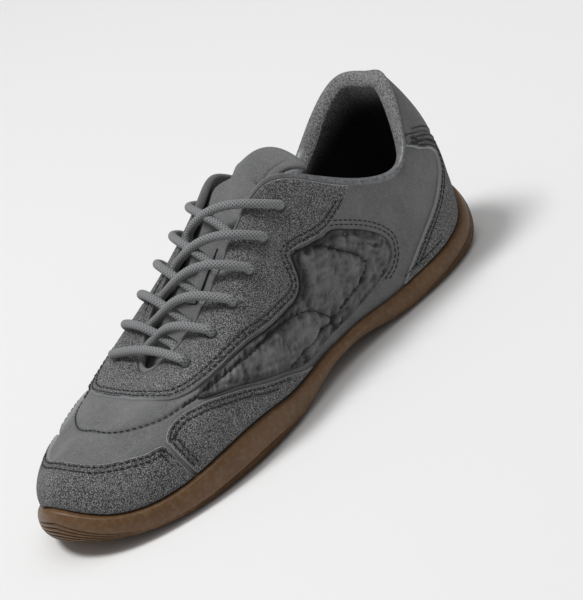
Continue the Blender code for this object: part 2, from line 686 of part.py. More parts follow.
def slab(name, top, thickness, colour, roughness):
    """A sheet solid under a grid of points, thickness deep along the grid's own normals."""
    along = np.gradient(top, axis=0)
    across = np.gradient(top, axis=1)
    normal = np.cross(along, across)
    normal /= np.linalg.norm(normal, axis=-1, keepdims=True)
    normal *= np.sign(normal[..., 2:].mean())
    bottom = top - normal * thickness
    rows, columns = top.shape[:2]
    count = rows * columns
    faces = []
    for i in range(rows - 1):
        for j in range(columns - 1):
            a = i * columns + j
            faces.append((a, a + 1, a + columns + 1, a + columns))
            faces.append((count + a, count + a + columns, count + a + columns + 1, count + a + 1))
    edge = [j for j in range(columns)]
    edge += [i * columns + columns - 1 for i in range(1, rows)]
    edge += [(rows - 1) * columns + j for j in range(columns - 2, -1, -1)]
    edge += [i * columns for i in range(rows - 2, 0, -1)]
    faces += [(a, b, count + b, count + a) for a, b in zip(edge, edge[1:] + edge[:1])]
    points = np.concatenate([top.reshape(-1, 3), bottom.reshape(-1, 3)])
    return new_object(name, points, faces, colour, roughness)


def make_tongue():
    """The padded tongue under the throat, down to its root under the vamp."""
    slab("tongue", tongue_top(), TONGUE_THICKNESS, NUBUCK, 0.8)


def over_eyelet(frame):
    """Where a strand lies over its eyelet, and the way out of the upper there."""
    centre, normal = frame
    return centre + normal * (LAY_GAP + SUEDE + LACE_SEAT + LACE_DIAMETER / 2), normal


def under_edge(pair, side):
    """Where a strand reaches the far side of the throat, abreast of the eyelet that it comes up through next."""
    around = LACE_DIVES[pair]
    distance = round_to_knots(around if side > 0 else TURN - around)
    edge, below = upper_points(distance, 1.0), upper_points(distance, 0.97)
    outward = (upper_points(distance, 1.0, np.array(MM)) - edge) / MM
    climb = (edge - below) / np.linalg.norm(edge - below)
    clear = LACE_DIAMETER / 2 - WALL + LACE_LIFT
    return edge + climb * (LACE_DIAMETER / 2 + WALL) + outward * clear, outward


def strand(name, start, end, lift):
    """One length of round lace, arched over the throat between two places."""
    (p0, out0), (p3, out3) = start, end
    way = p3 - p0
    reach = LACE_ARCH * np.linalg.norm(way)
    away0, away3 = way - out0 * (way @ out0), out3 * (way @ out3) - way
    p1 = p0 + away0 / np.linalg.norm(away0) * reach
    p2 = p3 + away3 / np.linalg.norm(away3) * reach * LACE_DIP
    t = np.linspace(0, 1, TUBE_RINGS)[:, None]
    spine = (1 - t) ** 3 * p0 + 3 * (1 - t) ** 2 * t * p1 + 3 * (1 - t) * t**2 * p2 + t**3 * p3
    spine += np.array([0, 0, lift]) * np.sin(np.pi * t)
    tangent = np.gradient(spine, axis=0)
    tangent /= np.linalg.norm(tangent, axis=1, keepdims=True)
    side = np.cross(tangent, (0.0, 0.0, 1.0))
    side /= np.linalg.norm(side, axis=1, keepdims=True)
    rise = np.cross(side, tangent)
    angle = 2 * np.pi * np.arange(TUBE_SIDES) / TUBE_SIDES
    ring = side[:, None] * np.cos(angle)[:, None] + rise[:, None] * np.sin(angle)[:, None]
    points = (spine[:, None] + ring * LACE_DIAMETER / 2).reshape(-1, 3)
    faces = ring_faces(TUBE_RINGS, TUBE_SIDES, closed=False)
    faces.append(tuple(range(TUBE_SIDES)))
    faces.append(tuple((TUBE_RINGS - 1) * TUBE_SIDES + k for k in range(TUBE_SIDES)))
    return new_object(name, points, faces, CORD, 0.85)


def make_lace():
    """The bar at the throat's front and five crossings, each of two strands that touch where they cross."""
    frames = eyelet_frames()
    outer, inner = frames[: len(EYELETS)], frames[len(EYELETS) :]
    for pair in range(len(EYELETS) - 1):
        below = over_eyelet(inner[pair]), under_edge(pair, 1)
        above = over_eyelet(outer[pair]), under_edge(pair, -1)
        under = strand(f"lace_{pair + 1}", *below, LACE_LOW)
        over = strand(f"lace_{pair + 1}_over", *above, LACE_HIGH)
        over.hide_render = True
        over.display_type = "WIRE"
        join = under.modifiers.new("crossing", "BOOLEAN")
        join.operation = "UNION"
        join.solver = "EXACT"
        join.object = over
    strand("lace_bar", over_eyelet(outer[-1]), over_eyelet(inner[-1]), LACE_LOW)


def centre_on_origin():
    """Moves the shoe so that the origin lies under the middle of its sole."""
    sole = np.array([tuple(v.co) for v in bpy.data.objects["outsole"].data.vertices])
    middle = (sole.min(0) + sole.max(0)) / 2
    for obj in bpy.data.objects:
        obj.data.transform(mathutils.Matrix.Translation((-middle[0], -middle[1], 0)))


def main():
    for obj in list(bpy.data.objects):
        bpy.data.objects.remove(obj)
    make_outsole()
    make_insole()
    make_upper()
    make_overlays()
    make_tongue()
    make_lace()
    centre_on_origin()


main()
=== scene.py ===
# %% [markdown]
# Left barefoot shoe: the looks
#
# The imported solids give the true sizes: a thin gum cupsole, a hollow upper and the pieces stitched
# over it. This script dresses them. A real shoe of this kind is cut from nubuck, suede and a crinkled
# nylon, stitched flat, pulled over a last and cemented into the cupsole, then laced with round cord.
# Each section below says what a piece is on the real shoe and how it is made here.
#
# Frame: metres, +X from heel to toe, +Y to the outer side, +Z up, floor at z = 0.

# %% Load the frame
import math

import bpy
import numpy as np
from mathutils import Matrix, Vector, geometry


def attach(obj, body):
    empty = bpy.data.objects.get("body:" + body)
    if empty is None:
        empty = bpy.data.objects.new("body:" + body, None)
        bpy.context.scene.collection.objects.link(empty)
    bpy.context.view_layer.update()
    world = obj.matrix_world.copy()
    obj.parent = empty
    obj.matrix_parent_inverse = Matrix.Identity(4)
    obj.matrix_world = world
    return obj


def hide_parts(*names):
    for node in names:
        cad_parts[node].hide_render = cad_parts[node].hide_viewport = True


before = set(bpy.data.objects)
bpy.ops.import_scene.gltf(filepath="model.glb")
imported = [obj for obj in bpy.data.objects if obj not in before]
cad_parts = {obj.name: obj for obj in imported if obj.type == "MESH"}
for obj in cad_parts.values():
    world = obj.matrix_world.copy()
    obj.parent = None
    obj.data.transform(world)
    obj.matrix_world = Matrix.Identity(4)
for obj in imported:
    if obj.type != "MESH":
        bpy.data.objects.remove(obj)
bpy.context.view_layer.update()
MM = 0.001

# %% [markdown]
# The last
#
# Every soft piece follows the last, the foot form that the upper is pulled over. The same short table
# that shaped the solids shapes the looks: a row for each section from heel to toe, and between the
# rows a smooth closed curve. A place on the upper is (around, up): around counts the rows, 0 at the
# heel's back, 10 at the toe tip and 20 at the heel again, and up runs from 0 at the sole's rim to 1 at
# the mouth. That makes it easy to say where a seam runs.

# %% Sizes of the last and the table of sections
SOLE_LENGTH = 280 * MM
WIDTHS = {"heel": 71 * MM, "waist": 70 * MM, "ball": 102 * MM}
MOUTHS = {"collar": 60 * MM, "throat": 42 * MM}
HEIGHTS = {"heel": 87 * MM, "dip": 58 * MM, "instep": 84 * MM, "vamp": 52 * MM}
RIM_HEIGHT = 14 * MM
RIM_THICKNESS = 1.8 * MM
RIM_TUCK = 3.0 * MM
SIDE_BELLY = 1.2 * MM
TREAD_INSET = 4.8 * MM
OUTSOLE_THICKNESS = 3.5 * MM
TOE_SPRING = 7.5 * MM
HEEL_BEVEL = 9 * MM
ARCH_LIFT = 6.5 * MM
WALL = 2.0 * MM
COLLAR_PADDING = 4.0 * MM
GAP = 0.3 * MM
LAY_GAP = 0.55 * MM
SUEDE = 1.3 * MM
NYLON_PUFF = 1.0 * MM
PLUMB_REACH = 16 * MM
PLUMB_LEAN = 12 * MM
SOLE_MIDDLE = np.array([140.094, -3.134, 0.0]) * MM

COLUMNS_OF_SECTIONS = (
    "name along outer inner width wall tuck cover mouth_along mouth_across",
    "mouth mouth_up height rise lean reach slope",
)
SECTIONS = (
    ("heel back", 0.000, 0.00, 0.00, "heel", 1.43, 1.00, 1.0, 0.045, 0.00,
     "collar", 1.045, "heel", 0.50, 10, 0.31, 68),
    ("heel corner", 0.021, 0.66, 0.61, "heel", 1.25, 0.90, 1.0, 0.064, 0.53,
     "collar", 1.05, "heel", 0.49, 7, 0.31, 64),
    ("heel", 0.113, 1.07, 0.96, "heel", 0.91, 0.45, 1.0, 0.128, 1.06,
     "collar", 0.83, "heel", 0.46, 4, 0.32, 65),
    ("rear waist", 0.278, 1.12, 0.92, "waist", 0.80, 0.33, 0.4, 0.218, 1.16,
     "collar", 1.04, "dip", 0.43, 3, 0.32, 68),
    ("waist", 0.432, 1.05, 0.86, "waist", 0.48, 0.30, 0.3, 0.336, 0.96,
     "collar", 0.95, "instep", 0.41, 3, 0.33, 64),
    ("joint", 0.574, 0.81, 0.75, "ball", 0.78, 0.30, 0.8, 0.429, 0.87,
     "throat", 1.11, "instep", 0.38, 4, 0.32, 49),
    ("ball", 0.690, 0.88, 0.95, "ball", 1.15, 0.33, 1.0, 0.538, 0.73,
     "throat", 0.93, "instep", 0.39, 5, 0.36, 35),
    ("toes", 0.804, 0.81, 1.00, "ball", 1.03, 0.40, 1.0, 0.640, 0.74,
     "throat", 1.16, "vamp", 0.38, 6, 0.38, 25),
    ("toe corner", 0.908, 0.59, 0.87, "ball", 0.76, 0.50, 1.0, 0.699, 0.44,
     "throat", 1.00, "vamp", 0.37, 5, 0.43, 15),
    ("toe shoulder", 0.971, 0.30, 0.58, "ball", 0.86, 0.55, 1.0, 0.722, 0.22,
     "throat", 0.95, "vamp", 0.34, 3, 0.44, 12),
    ("toe tip", 1.000, -0.13, 0.13, "ball", 1.20, 0.60, 1.0, 0.729, 0.00,
     "throat", 0.93, "vamp", 0.32, 3, 0.44, 12),
)
RIDGE_ALONG = (0.00, 0.33, 0.43, 0.54, 0.64, 0.73, 1.00)
RIDGE_ACROSS = (0.000, 0.000, 0.020, 0.022, -0.015, -0.025, -0.070)
ROWS = len(SECTIONS)
TURN = 2 * (ROWS - 1)


# %% Curves through the table
def section(row, name):
    """One named cell of the table."""
    return SECTIONS[row][" ".join(COLUMNS_OF_SECTIONS).split().index(name)]


def ridge_across(along):
    """How far the foot's ridge lies to the outer side, linear between its few named places."""
    return np.interp(along / SOLE_LENGTH, RIDGE_ALONG, RIDGE_ACROSS) * WIDTHS["ball"]


def table_of_knots():
    """Every quantity of the sections, a row for each knot of the loop round the shoe."""
    loop = [(row, 1) for row in range(ROWS)] + [(row, -1) for row in range(ROWS - 2, 0, -1)]
    rows = []
    for row, side in loop:
        half = WIDTHS[section(row, "width")] / 2
        mouth_x = section(row, "mouth_along") * SOLE_LENGTH
        mouth_half = MOUTHS[section(row, "mouth")] / 2
        rows.append(
            (
                section(row, "along") * SOLE_LENGTH,
                section(row, "outer" if side > 0 else "inner") * half * side,
                section(row, "wall") * RIM_HEIGHT,
                section(row, "tuck") * RIM_TUCK,
                section(row, "cover") * (LAY_GAP + SUEDE),
                mouth_x,
                ridge_across(mouth_x) + section(row, "mouth_across") * mouth_half * side,
                section(row, "mouth_up") * HEIGHTS[section(row, "height")],
                section(row, "rise"),
                math.radians(section(row, "lean")),
                section(row, "reach"),
                math.radians(section(row, "slope")),
            )
        )
    return np.array(rows)


KNOT_VALUES = table_of_knots()
CHORDS = np.linalg.norm(np.roll(KNOT_VALUES[:, :2], -1, 0) - KNOT_VALUES[:, :2], axis=1)
KNOTS = np.concatenate([[0.0], np.cumsum(CHORDS)])


def knot_tangents():
    """Slopes at the knots of the closed cubic whose second derivative is continuous (a periodic spline)."""
    count = len(CHORDS)
    slope = (np.roll(KNOT_VALUES, -1, 0) - KNOT_VALUES) / CHORDS[:, None]
    matrix = np.zeros((count, count))
    right = np.zeros_like(KNOT_VALUES)
    for i in range(count):
        before, after = CHORDS[i - 1], CHORDS[i]
        matrix[i, i - 1] += after
        matrix[i, i] += 2 * (before + after)
        matrix[i, (i + 1) % count] += before
        right[i] = 3 * (after * slope[i - 1] + before * slope[i])
    return np.linalg.solve(matrix, right)


KNOT_TANGENTS = knot_tangents()


def read_sections(distance):
    """The table's quantities at distances round the outline: a cubic Hermite between two knots."""
    places = np.mod(np.asarray(distance, float), KNOTS[-1])
    i = np.clip(np.searchsorted(KNOTS, places, side="right") - 1, 0, len(CHORDS) - 1)
    j = (i + 1) % len(CHORDS)
    t = ((places - KNOTS[i]) / CHORDS[i])[..., None]
    h = CHORDS[i][..., None]
    values = (
        (2 * t**3 - 3 * t**2 + 1) * KNOT_VALUES[i]
        + (t**3 - 2 * t**2 + t) * h * KNOT_TANGENTS[i]
        + (-2 * t**3 + 3 * t**2) * KNOT_VALUES[j]
        + (t**3 - t**2) * h * KNOT_TANGENTS[j]
    )
    return tuple(values[..., k] for k in range(values.shape[-1]))


def round_to_knots(around):
    """Turns a count of table rows into a distance round the outline."""
    around = np.asarray(around, float)
    turns = np.floor(around / TURN)
    return np.interp(around - turns * TURN, np.arange(TURN + 1), KNOTS) + turns * KNOTS[-1]


def place_on(around, side):
    """Distance round the outline of a place on the outer side (1), or of its like on the inner one (-1)."""
    return round_to_knots(around if side > 0 else TURN - around)


def columns_round(count):
    """Distances of that many columns round the outline, the same number to each row of the table."""
    return round_to_knots(np.arange(count) * TURN / count)


def from_heel(distance):
    """A distance as table rows from the heel's back, the same on both sides."""
    around = np.interp(np.mod(distance, KNOTS[-1]), KNOTS, np.arange(TURN + 1))
    return np.minimum(around, TURN - around)


def ramp(value):
    """0 below 0, 1 above 1, and 3v^2 - 2v^3 between."""
    value = np.clip(value, 0, 1)
    return value * value * (3 - 2 * value)


def run_length(points):
    """Distance along a line at each of its points."""
    return np.concatenate([[0.0], np.cumsum(np.linalg.norm(np.diff(points, axis=0), axis=1))])


def read_line(points, gone, at):
    """Points of a line at distances along it, from its points and the distance gone at each."""
    return np.stack([np.interp(at, gone, points[:, k]) for k in range(points.shape[1])], -1)


print("outline round the sole:", round(KNOTS[-1] / MM), "mm")


# %% The sole's outline and the upper's face
def floor_lift(along):
    """Height of the sole's underside: a squared heel bevel and toe spring, and an arch between two ramps."""
    share = along / SOLE_LENGTH
    heel = HEEL_BEVEL * np.clip(1 - share / 0.09, 0, 1) ** 2
    toe = TOE_SPRING * np.clip((share - 0.80) / 0.20, 0, 1) ** 2
    arch = ARCH_LIFT * ramp((share - 0.27) / 0.16) * ramp((0.62 - share) / 0.16)
    return heel + toe + arch


def outline(distance, inset=0.0):
    """The sole's outline in plan, moved inward along its own normal, and that normal."""
    nudge = 0.5 * MM
    x, y = read_sections(distance)[:2]
    x0, y0 = read_sections(np.asarray(distance) - nudge)[:2]
    x1, y1 = read_sections(np.asarray(distance) + nudge)[:2]
    length = np.hypot(x1 - x0, y1 - y0)
    out_x, out_y = -(y1 - y0) / length, (x1 - x0) / length
    return x - inset * out_x, y - inset * out_y, out_x, out_y


def rim_top(distance):
    """Height of the sidewall's top above the floor."""
    x, _, wall = read_sections(distance)[:3]
    return floor_lift(x) + wall


def outer_form(distance, up):
    """The shoe's outer form: for each place around, a cubic Bezier curve from the rim to the mouth."""
    values = read_sections(distance)
    tuck, mouth_x, mouth_y, mouth_z, rise, lean, reach, slope = values[3:4] + values[5:]
    x, y, out_x, out_y = outline(distance, tuck + RIM_THICKNESS + GAP)
    start = np.stack([x, y, rim_top(distance)], -1)
    end = np.stack([mouth_x, mouth_y, mouth_z], -1)
    chord = np.linalg.norm(end - start, axis=-1)
    outward = np.stack([out_x, out_y, np.zeros_like(out_x)], -1)
    upward = np.array([0.0, 0.0, 1.0])
    first = outward * np.sin(lean)[..., None] + upward * np.cos(lean)[..., None]
    first *= (rise * chord)[..., None]
    away = np.stack([x - mouth_x, y - mouth_y, np.zeros_like(x)], -1)
    near = np.exp(-((np.linalg.norm(away, axis=-1, keepdims=True) / PLUMB_REACH) ** 2))
    away = away + outward * near * PLUMB_LEAN
    away /= np.linalg.norm(away, axis=-1, keepdims=True)
    last = away * np.cos(slope)[..., None] - upward * np.sin(slope)[..., None]
    last *= (reach * chord)[..., None]
    t = np.asarray(up)[..., None]
    rising = (1 - t) ** 3 * start + 3 * (1 - t) ** 2 * t * (start + first)
    return rising + 3 * (1 - t) * t**2 * (end + last) + t**3 * end - SOLE_MIDDLE


def frame_of(distance, up):
    """(point, step along, step up, outward normal) of the outer form, by central differences."""
    distance, up = np.broadcast_arrays(np.asarray(distance, float), np.asarray(up, float))
    step, lift = 0.4 * MM, 0.004
    along = (outer_form(distance + step, up) - outer_form(distance - step, up)) / (2 * step)
    high, low = np.minimum(up + lift, 1.0), np.maximum(up - lift, 0.0)
    climb = (outer_form(distance, high) - outer_form(distance, low)) / (high - low)[..., None]
    normal = np.cross(climb, along)
    normal /= np.linalg.norm(normal, axis=-1, keepdims=True)
    return outer_form(distance, up), along, climb, normal


def on_upper(distance, up, offset=0.0):
    """Points of the upper's face moved outward by offset. The face lies a cover back from the outer form."""
    point, _, _, normal = frame_of(distance, up)
    cover = read_sections(np.broadcast_to(distance, point.shape[:-1]))[4]
    return point + normal * (np.asarray(offset) - cover)[..., None]


heights = on_upper(round_to_knots(np.array([0.0, 3.0, 5.0])), np.ones(3))[:, 2]
print("collar back, collar dip and throat corner stand at", (heights / MM).round(1), "mm")

# %% [markdown]
# Mesh helpers
#
# A sheet of leather is the same surface twice, its face and its flesh side, joined round the edge. The
# pieces are wide grids or finely cut patches, so their relief is real: edges roll over, seams sink and
# stitches stand up, and it all shows from any side.

# %% Make a piece from points and faces
def piece(name, points, faces, materials, replaced=(), face_material=None):
    """One closed mesh that rides with the shoe, and hides the solids it stands for."""
    assert np.isfinite(points).all(), name
    mesh = bpy.data.meshes.new(name)
    mesh.from_pydata(points, [], faces)
    for material in materials:
        mesh.materials.append(material)
    if face_material is not None:
        mesh.polygons.foreach_set("material_index", np.asarray(face_material, np.int32))
    mesh.update()
    mesh.shade_smooth()
    mesh.set_sharp_from_angle(angle=math.radians(50))
    obj = bpy.data.objects.new(name, mesh)
    bpy.context.scene.collection.objects.link(obj)
    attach(obj, "root")
    if replaced:
        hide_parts(*replaced)
    print(name, len(mesh.vertices), "points,", len(mesh.polygons), "faces")
    return obj


def attribute(obj, name, values):
    """A number kept at each point of a mesh, for its material to read."""
    layer = obj.data.attributes.new(name, "FLOAT", "POINT")
    layer.data.foreach_set("value", np.asarray(values, np.float32))


def unsewn(obj):
    """No cut edge and no seam anywhere on a piece, for a material that reads both."""
    for name in ("edge", "seam"):
        attribute(obj, name, np.zeros(len(obj.data.vertices)))


def ring_faces(rings, columns, joined):
    """Quads between rings of points. joined closes the last ring onto the first."""
    ring = np.arange(rings if joined else rings - 1)[:, None]
    column = np.arange(columns)[None]
    after = (column + 1) % columns
    here, there = ring * columns, (ring + 1) % rings * columns
    quads = np.stack(np.broadcast_arrays(here + column, here + after, there + after, there + column), -1)
    return quads.reshape(-1, 4)


def grid_faces(rows, columns):
    """Quads of an open grid of rows and columns."""
    a = (np.arange(rows - 1)[:, None] * columns + np.arange(columns - 1)[None]).reshape(-1)
    return np.stack([a, a + 1, a + columns + 1, a + columns], -1)


def slab_faces(rows, columns):
    """Faces of a sheet solid: a grid, the same grid turned over behind it, and the strip round both."""
    count = rows * columns
    top = grid_faces(rows, columns)
    edge = np.concatenate(
        [
            np.arange(columns),
            np.arange(1, rows) * columns + columns - 1,
            (rows - 1) * columns + np.arange(columns - 2, -1, -1),
            np.arange(rows - 2, 0, -1) * columns,
        ]
    )
    after = np.roll(edge, -1)
    rim = np.stack([after, edge, edge + count, after + count], -1)
    return np.concatenate([top, top[:, ::-1] + count, rim])


def tube_faces(rings, sides):
    """(quads, end caps) of a tube of rings with closed ends."""
    last = (rings - 1) * sides
    caps = [list(range(sides))[::-1], [last + k for k in range(sides)]]
    return ring_faces(rings, sides, joined=False).tolist(), caps


WAVES = 9
BLOCK = 4000


def ripple(points, size, seed):
    """Soft unevenness from -1 to 1: a few sine waves in seeded directions, each about size long."""
    random = np.random.default_rng(seed)
    total = np.zeros(points.shape[:-1])
    for _ in range(WAVES):
        way = random.normal(size=3)
        way *= 2 * np.pi / (size * random.uniform(0.7, 1.5)) / np.linalg.norm(way)
        total += np.sin(points @ way + random.uniform(0, 2 * np.pi))
    return total / (WAVES / 2)


def nearest(points, line):
    """Distance from each point to the nearest of a line's points, a block of points at a time."""
    found = np.empty(len(points))
    for start in range(0, len(points), BLOCK):
        block = points[start : start + BLOCK, None] - line[None]
        found[start : start + BLOCK] = np.sqrt((block**2).sum(-1).min(1))
    return found


# %% [markdown]
# Lines on the last
#
# A pattern cutter draws seams as smooth curves with a few true corners. So do these helpers: they
# smooth a short list of places, keep its corners, and shift a line sideways by real millimetres, as a
# stitching foot does when it runs a second row beside the first.

# %% Smooth, densify and shift a line of (around, up) places
FLAT_HEIGHT = 80 * MM
CORNER = math.radians(48)


def flat_of(places):
    """Places as flat pattern coordinates: distance round the outline, and up times a nominal height."""
    around, up = np.array(places, float).T
    return np.stack([round_to_knots(around), up * FLAT_HEIGHT], -1)


def smooth_line(places, closed, step):
    """A Hermite curve through the places, about step between points. A sharp turn stays a corner."""
    flat = flat_of(places)
    count = len(flat)
    before, after = np.roll(flat, 1, 0), np.roll(flat, -1, 0)
    into, out = flat - before, after - flat
    turn = np.arctan2(out[:, 1], out[:, 0]) - np.arctan2(into[:, 1], into[:, 0])
    sharp = np.abs((turn + np.pi) % (2 * np.pi) - np.pi) > CORNER
    if not closed:
        sharp[[0, -1]] = True
    line = []
    for i in range(count if closed else count - 1):
        j = (i + 1) % count
        span = flat[j] - flat[i]
        length = np.linalg.norm(span)
        first, last = span, span
        if not sharp[i]:
            first = tangent_at(into[i], out[i], length)
        if not sharp[j]:
            last = tangent_at(into[j], out[j], length)
        t = np.arange(max(1, round(length / step)))[:, None] / max(1, round(length / step))
        line.append(
            (2 * t**3 - 3 * t**2 + 1) * flat[i]
            + (t**3 - 2 * t**2 + t) * first
            + (-2 * t**3 + 3 * t**2) * flat[j]
            + (t**3 - t**2) * last
        )
    if not closed:
        line.append(flat[-1:])
    return np.concatenate(line)


def tangent_at(into, out, length):
    """The tangent at a place, for a span of that length: the two spans' directions, nearer one first."""
    a, b = np.linalg.norm(into), np.linalg.norm(out)
    way = into / a * b + out / b * a
    return way / max(np.linalg.norm(way), 1e-9) * length


def lift_line(flat, offset):
    """A flat line as points on the upper, standing offset off its face."""
    return on_upper(flat[:, 0], flat[:, 1] / FLAT_HEIGHT, offset)


def shift_line(flat, amount, closed):
    """The line moved to its left by real millimetres: the sideways step solved in the surface's own axes."""
    steps = max(1, math.ceil(abs(amount) / MM))
    for _ in range(steps):
        _, along, climb, normal = frame_of(flat[:, 0], flat[:, 1] / FLAT_HEIGHT)
        climb = climb / FLAT_HEIGHT
        if closed:
            run = np.roll(flat, -1, 0) - np.roll(flat, 1, 0)
        else:
            run = np.gradient(flat, axis=0)
        tangent = along * run[:, :1] + climb * run[:, 1:]
        side = np.cross(normal, tangent)
        side *= amount / steps / np.maximum(np.linalg.norm(side, axis=1, keepdims=True), 1e-12)
        aa, ab, bb = (along * along).sum(1), (along * climb).sum(1), (climb * climb).sum(1)
        ra, rb = (along * side).sum(1), (climb * side).sum(1)
        rest = aa * bb - ab * ab
        flat = flat + np.stack([(ra * bb - rb * ab) / rest, (rb * aa - ra * ab) / rest], -1)
    return flat


def surface_size(loop):
    """(length, height) in mm over the upper of a closed flat line: along its mid height and up its middle."""
    low, high = loop.min(0), loop.max(0)
    share = np.linspace(0, 1, 400)[:, None]
    middle = (low + high) / 2
    runs = [np.where(axis, middle, low + share * (high - low)) for axis in ((False, True), (True, False))]
    return [round(float(run_length(lift_line(run, 0.0))[-1] / MM), 1) for run in runs]


def other_side(places):
    """The same line on the inner side, run the same way round its own piece."""
    return [(TURN - around, up) for around, up in reversed(places)]


def on_side(places, side):
    """The line as given on the outer side (1), or its like on the inner side (-1)."""
    return places if side > 0 else other_side(places)


def both_sides(places):
    """An outline that runs over the outer side and back over the inner one, across row 0 or row 10."""
    across = 0 if places[0][0] < TURN / 4 else TURN
    other = [(across - around, up) for around, up in reversed(places)]
    return [*places, *(place for place in other if place not in places)]


def run_positive(loop):
    """A closed flat line, run so that its area is positive."""
    area = (loop[:, 0] * np.roll(loop[:, 1], -1) - np.roll(loop[:, 0], -1) * loop[:, 1]).sum()
    return loop if area > 0 else loop[::-1]


# %% [markdown]
# Materials
#
# One neutral grey runs through the shoe, and each skin shows it differently. Suede is leather's flesh side,
# raised to a coarse nap that catches light in speckles. Nubuck is the grain side, barely sanded, so it
# is smooth with a faint bloom. The side panel is a thin crinkled nylon over foam. The lining is brushed
# knit, the sole a translucent gum rubber, and the lace a round braid. Each material is built from a
# colour with noise at the real scale of its texture, and a bump of the same texture.

# %% A small kit for shader nodes
def linear(code):
    """A hex colour from sRGB to linear light."""
    parts = [int(code[i : i + 2], 16) / 255 for i in (1, 3, 5)]
    return tuple(p / 12.92 if p <= 0.04045 else ((p + 0.055) / 1.055) ** 2.4 for p in parts) + (1.0,)


def add(tree, kind, settings=(), **links):
    """Adds a node, its settings and its inputs. An input takes a value or another node's output."""
    made = tree.nodes.new("ShaderNode" + kind)
    for name, value in dict(settings).items():
        setattr(made, name, value)
    for name, value in links.items():
        key = int(name[1:]) if name[0] == "_" else name.replace("_", " ")
        socket = made.inputs[key]
        if isinstance(value, bpy.types.NodeSocket):
            tree.links.new(value, socket)
        else:
            socket.default_value = value
    return made


def new_material(name, **shader_values):
    """A material, its nodes, its Principled shader with even values set, and the object's coordinates."""
    material = bpy.data.materials.new(name)
    material.use_nodes = True
    shader = material.node_tree.nodes["Principled BSDF"]
    for key, value in {"Specular_IOR_Level": 0.2, **shader_values}.items():
        shader.inputs[key.replace("_", " ")].default_value = value
    place = material.node_tree.nodes.new("ShaderNodeTexCoord").outputs["Object"]
    return material, material.node_tree, shader, place


def grain(tree, coordinate, size, detail=2.0, rough=0.6, distortion=0.0):
    """Noise whose features are about size metres across."""
    noise = add(tree, "TexNoise", Vector=coordinate, Scale=0.5 / size, Detail=detail, Roughness=rough)
    noise.inputs["Distortion"].default_value = distortion
    return noise.outputs["Fac"]


def spread(tree, value, low, high):
    """Stretches a value so that low becomes 0 and high becomes 1, and clamps it."""
    made = add(tree, "MapRange", Value=value)
    made.inputs["From Min"].default_value = low
    made.inputs["From Max"].default_value = high
    return made.outputs["Result"]


def mix(tree, share, a, b):
    """Two colours mixed by a share. A colour is a hex code or another node's output."""
    made = tree.nodes.new("ShaderNodeMix")
    made.data_type = "RGBA"
    for socket, value in ((made.inputs["Factor"], share), (made.inputs[6], a), (made.inputs[7], b)):
        if isinstance(value, bpy.types.NodeSocket):
            tree.links.new(value, socket)
        else:
            socket.default_value = linear(value) if isinstance(value, str) else value
    return made.outputs[2]


def bump(tree, shader, height, depth, strength=1.0, under=None):
    """A bump of a real depth in metres, laid over another bump if one is given."""
    made = add(tree, "Bump", Height=height, Distance=depth, Strength=strength)
    if under is not None:
        tree.links.new(under, made.inputs["Normal"])
    tree.links.new(made.outputs["Normal"], shader.inputs["Normal"])
    return made.outputs["Normal"]


def read_attribute(tree, name):
    """A number that the mesh keeps at each point."""
    return add(tree, "Attribute", {"attribute_name": name}).outputs["Fac"]


# %% Suede and nubuck
SEAM_SHADOW = "#1b1b1c"


def make_suede(name, dark, light, speck):
    """Cow suede, brushed: a speckled nap, a painted shadow along the stitch rows where thread pulls it in,
    and a pale cut edge that is partly paler fibres and partly a painted highlight.
    """
    material, tree, shader, place = new_material(name, Roughness=0.95, Sheen_Weight=0.06, Sheen_Roughness=0.5)
    nap = grain(tree, place, 0.25 * MM, 2.0, 0.8)
    patch = grain(tree, place, 11 * MM, 4.0, 0.65)
    brushed = mix(tree, spread(tree, patch, 0.34, 0.66), dark, light)
    speckled = mix(tree, spread(tree, nap, 0.46, 0.62), brushed, speck)
    # Painted shadow: the seam attribute darkens the suede along each stitch row.
    sewn = mix(tree, read_attribute(tree, "seam"), speckled, SEAM_SHADOW)
    # Partly painted highlight: the edge attribute paints the rolled cut edge pale, on top of the paler cut
    # fibres.
    edge = spread(tree, read_attribute(tree, "edge"), 0.6, 1.0)
    tree.links.new(mix(tree, edge, sewn, "#acadae"), shader.inputs["Base Color"])
    coarse = bump(tree, shader, grain(tree, place, 1.5 * MM, 2.0), 0.30 * MM, 0.8)
    bump(tree, shader, nap, 0.34 * MM, 1.0, coarse)
    return material


def make_nubuck(name, dark, light):
    """Nubuck: fine even grain, a soft cloudiness a centimetre or two wide, and a faint bloom."""
    material, tree, shader, place = new_material(name, Roughness=0.85, Sheen_Weight=0.06, Sheen_Roughness=0.4)
    cloud = grain(tree, place, 9 * MM, 5.0, 0.65)
    fine = grain(tree, place, 0.45 * MM, 2.0, 0.7)
    tone = mix(tree, spread(tree, cloud, 0.3, 0.7), dark, light)
    grained = mix(tree, spread(tree, fine, 0.36, 0.70), tone, "#8a8b8c")
    fade = mix(tree, 0.5, tone, grained)
    # Painted shadow: the seam attribute darkens the nubuck along each stitch row.
    sewn = mix(tree, read_attribute(tree, "seam"), fade, SEAM_SHADOW)
    edge = spread(tree, read_attribute(tree, "edge"), 0.5, 1.0)
    tree.links.new(mix(tree, edge, sewn, "#727375"), shader.inputs["Base Color"])
    coarse = bump(tree, shader, grain(tree, place, 2.6 * MM), 0.16 * MM, 0.8)
    bump(tree, shader, fine, 0.10 * MM, 0.9, coarse)
    return material


SUEDE_SKIN = make_suede("cow suede, brushed", "#2b2b2c", "#3d3d3e", "#a2a2a3")
NUBUCK_SKIN = make_nubuck("nubuck, fine sanded", "#5c5c5d", "#777778")
TAB_SKIN = make_nubuck("nubuck, heel tab", "#5c5c5d", "#727273")


# %% Nylon, lining and binding
NYLON_FOLDS = 120.0


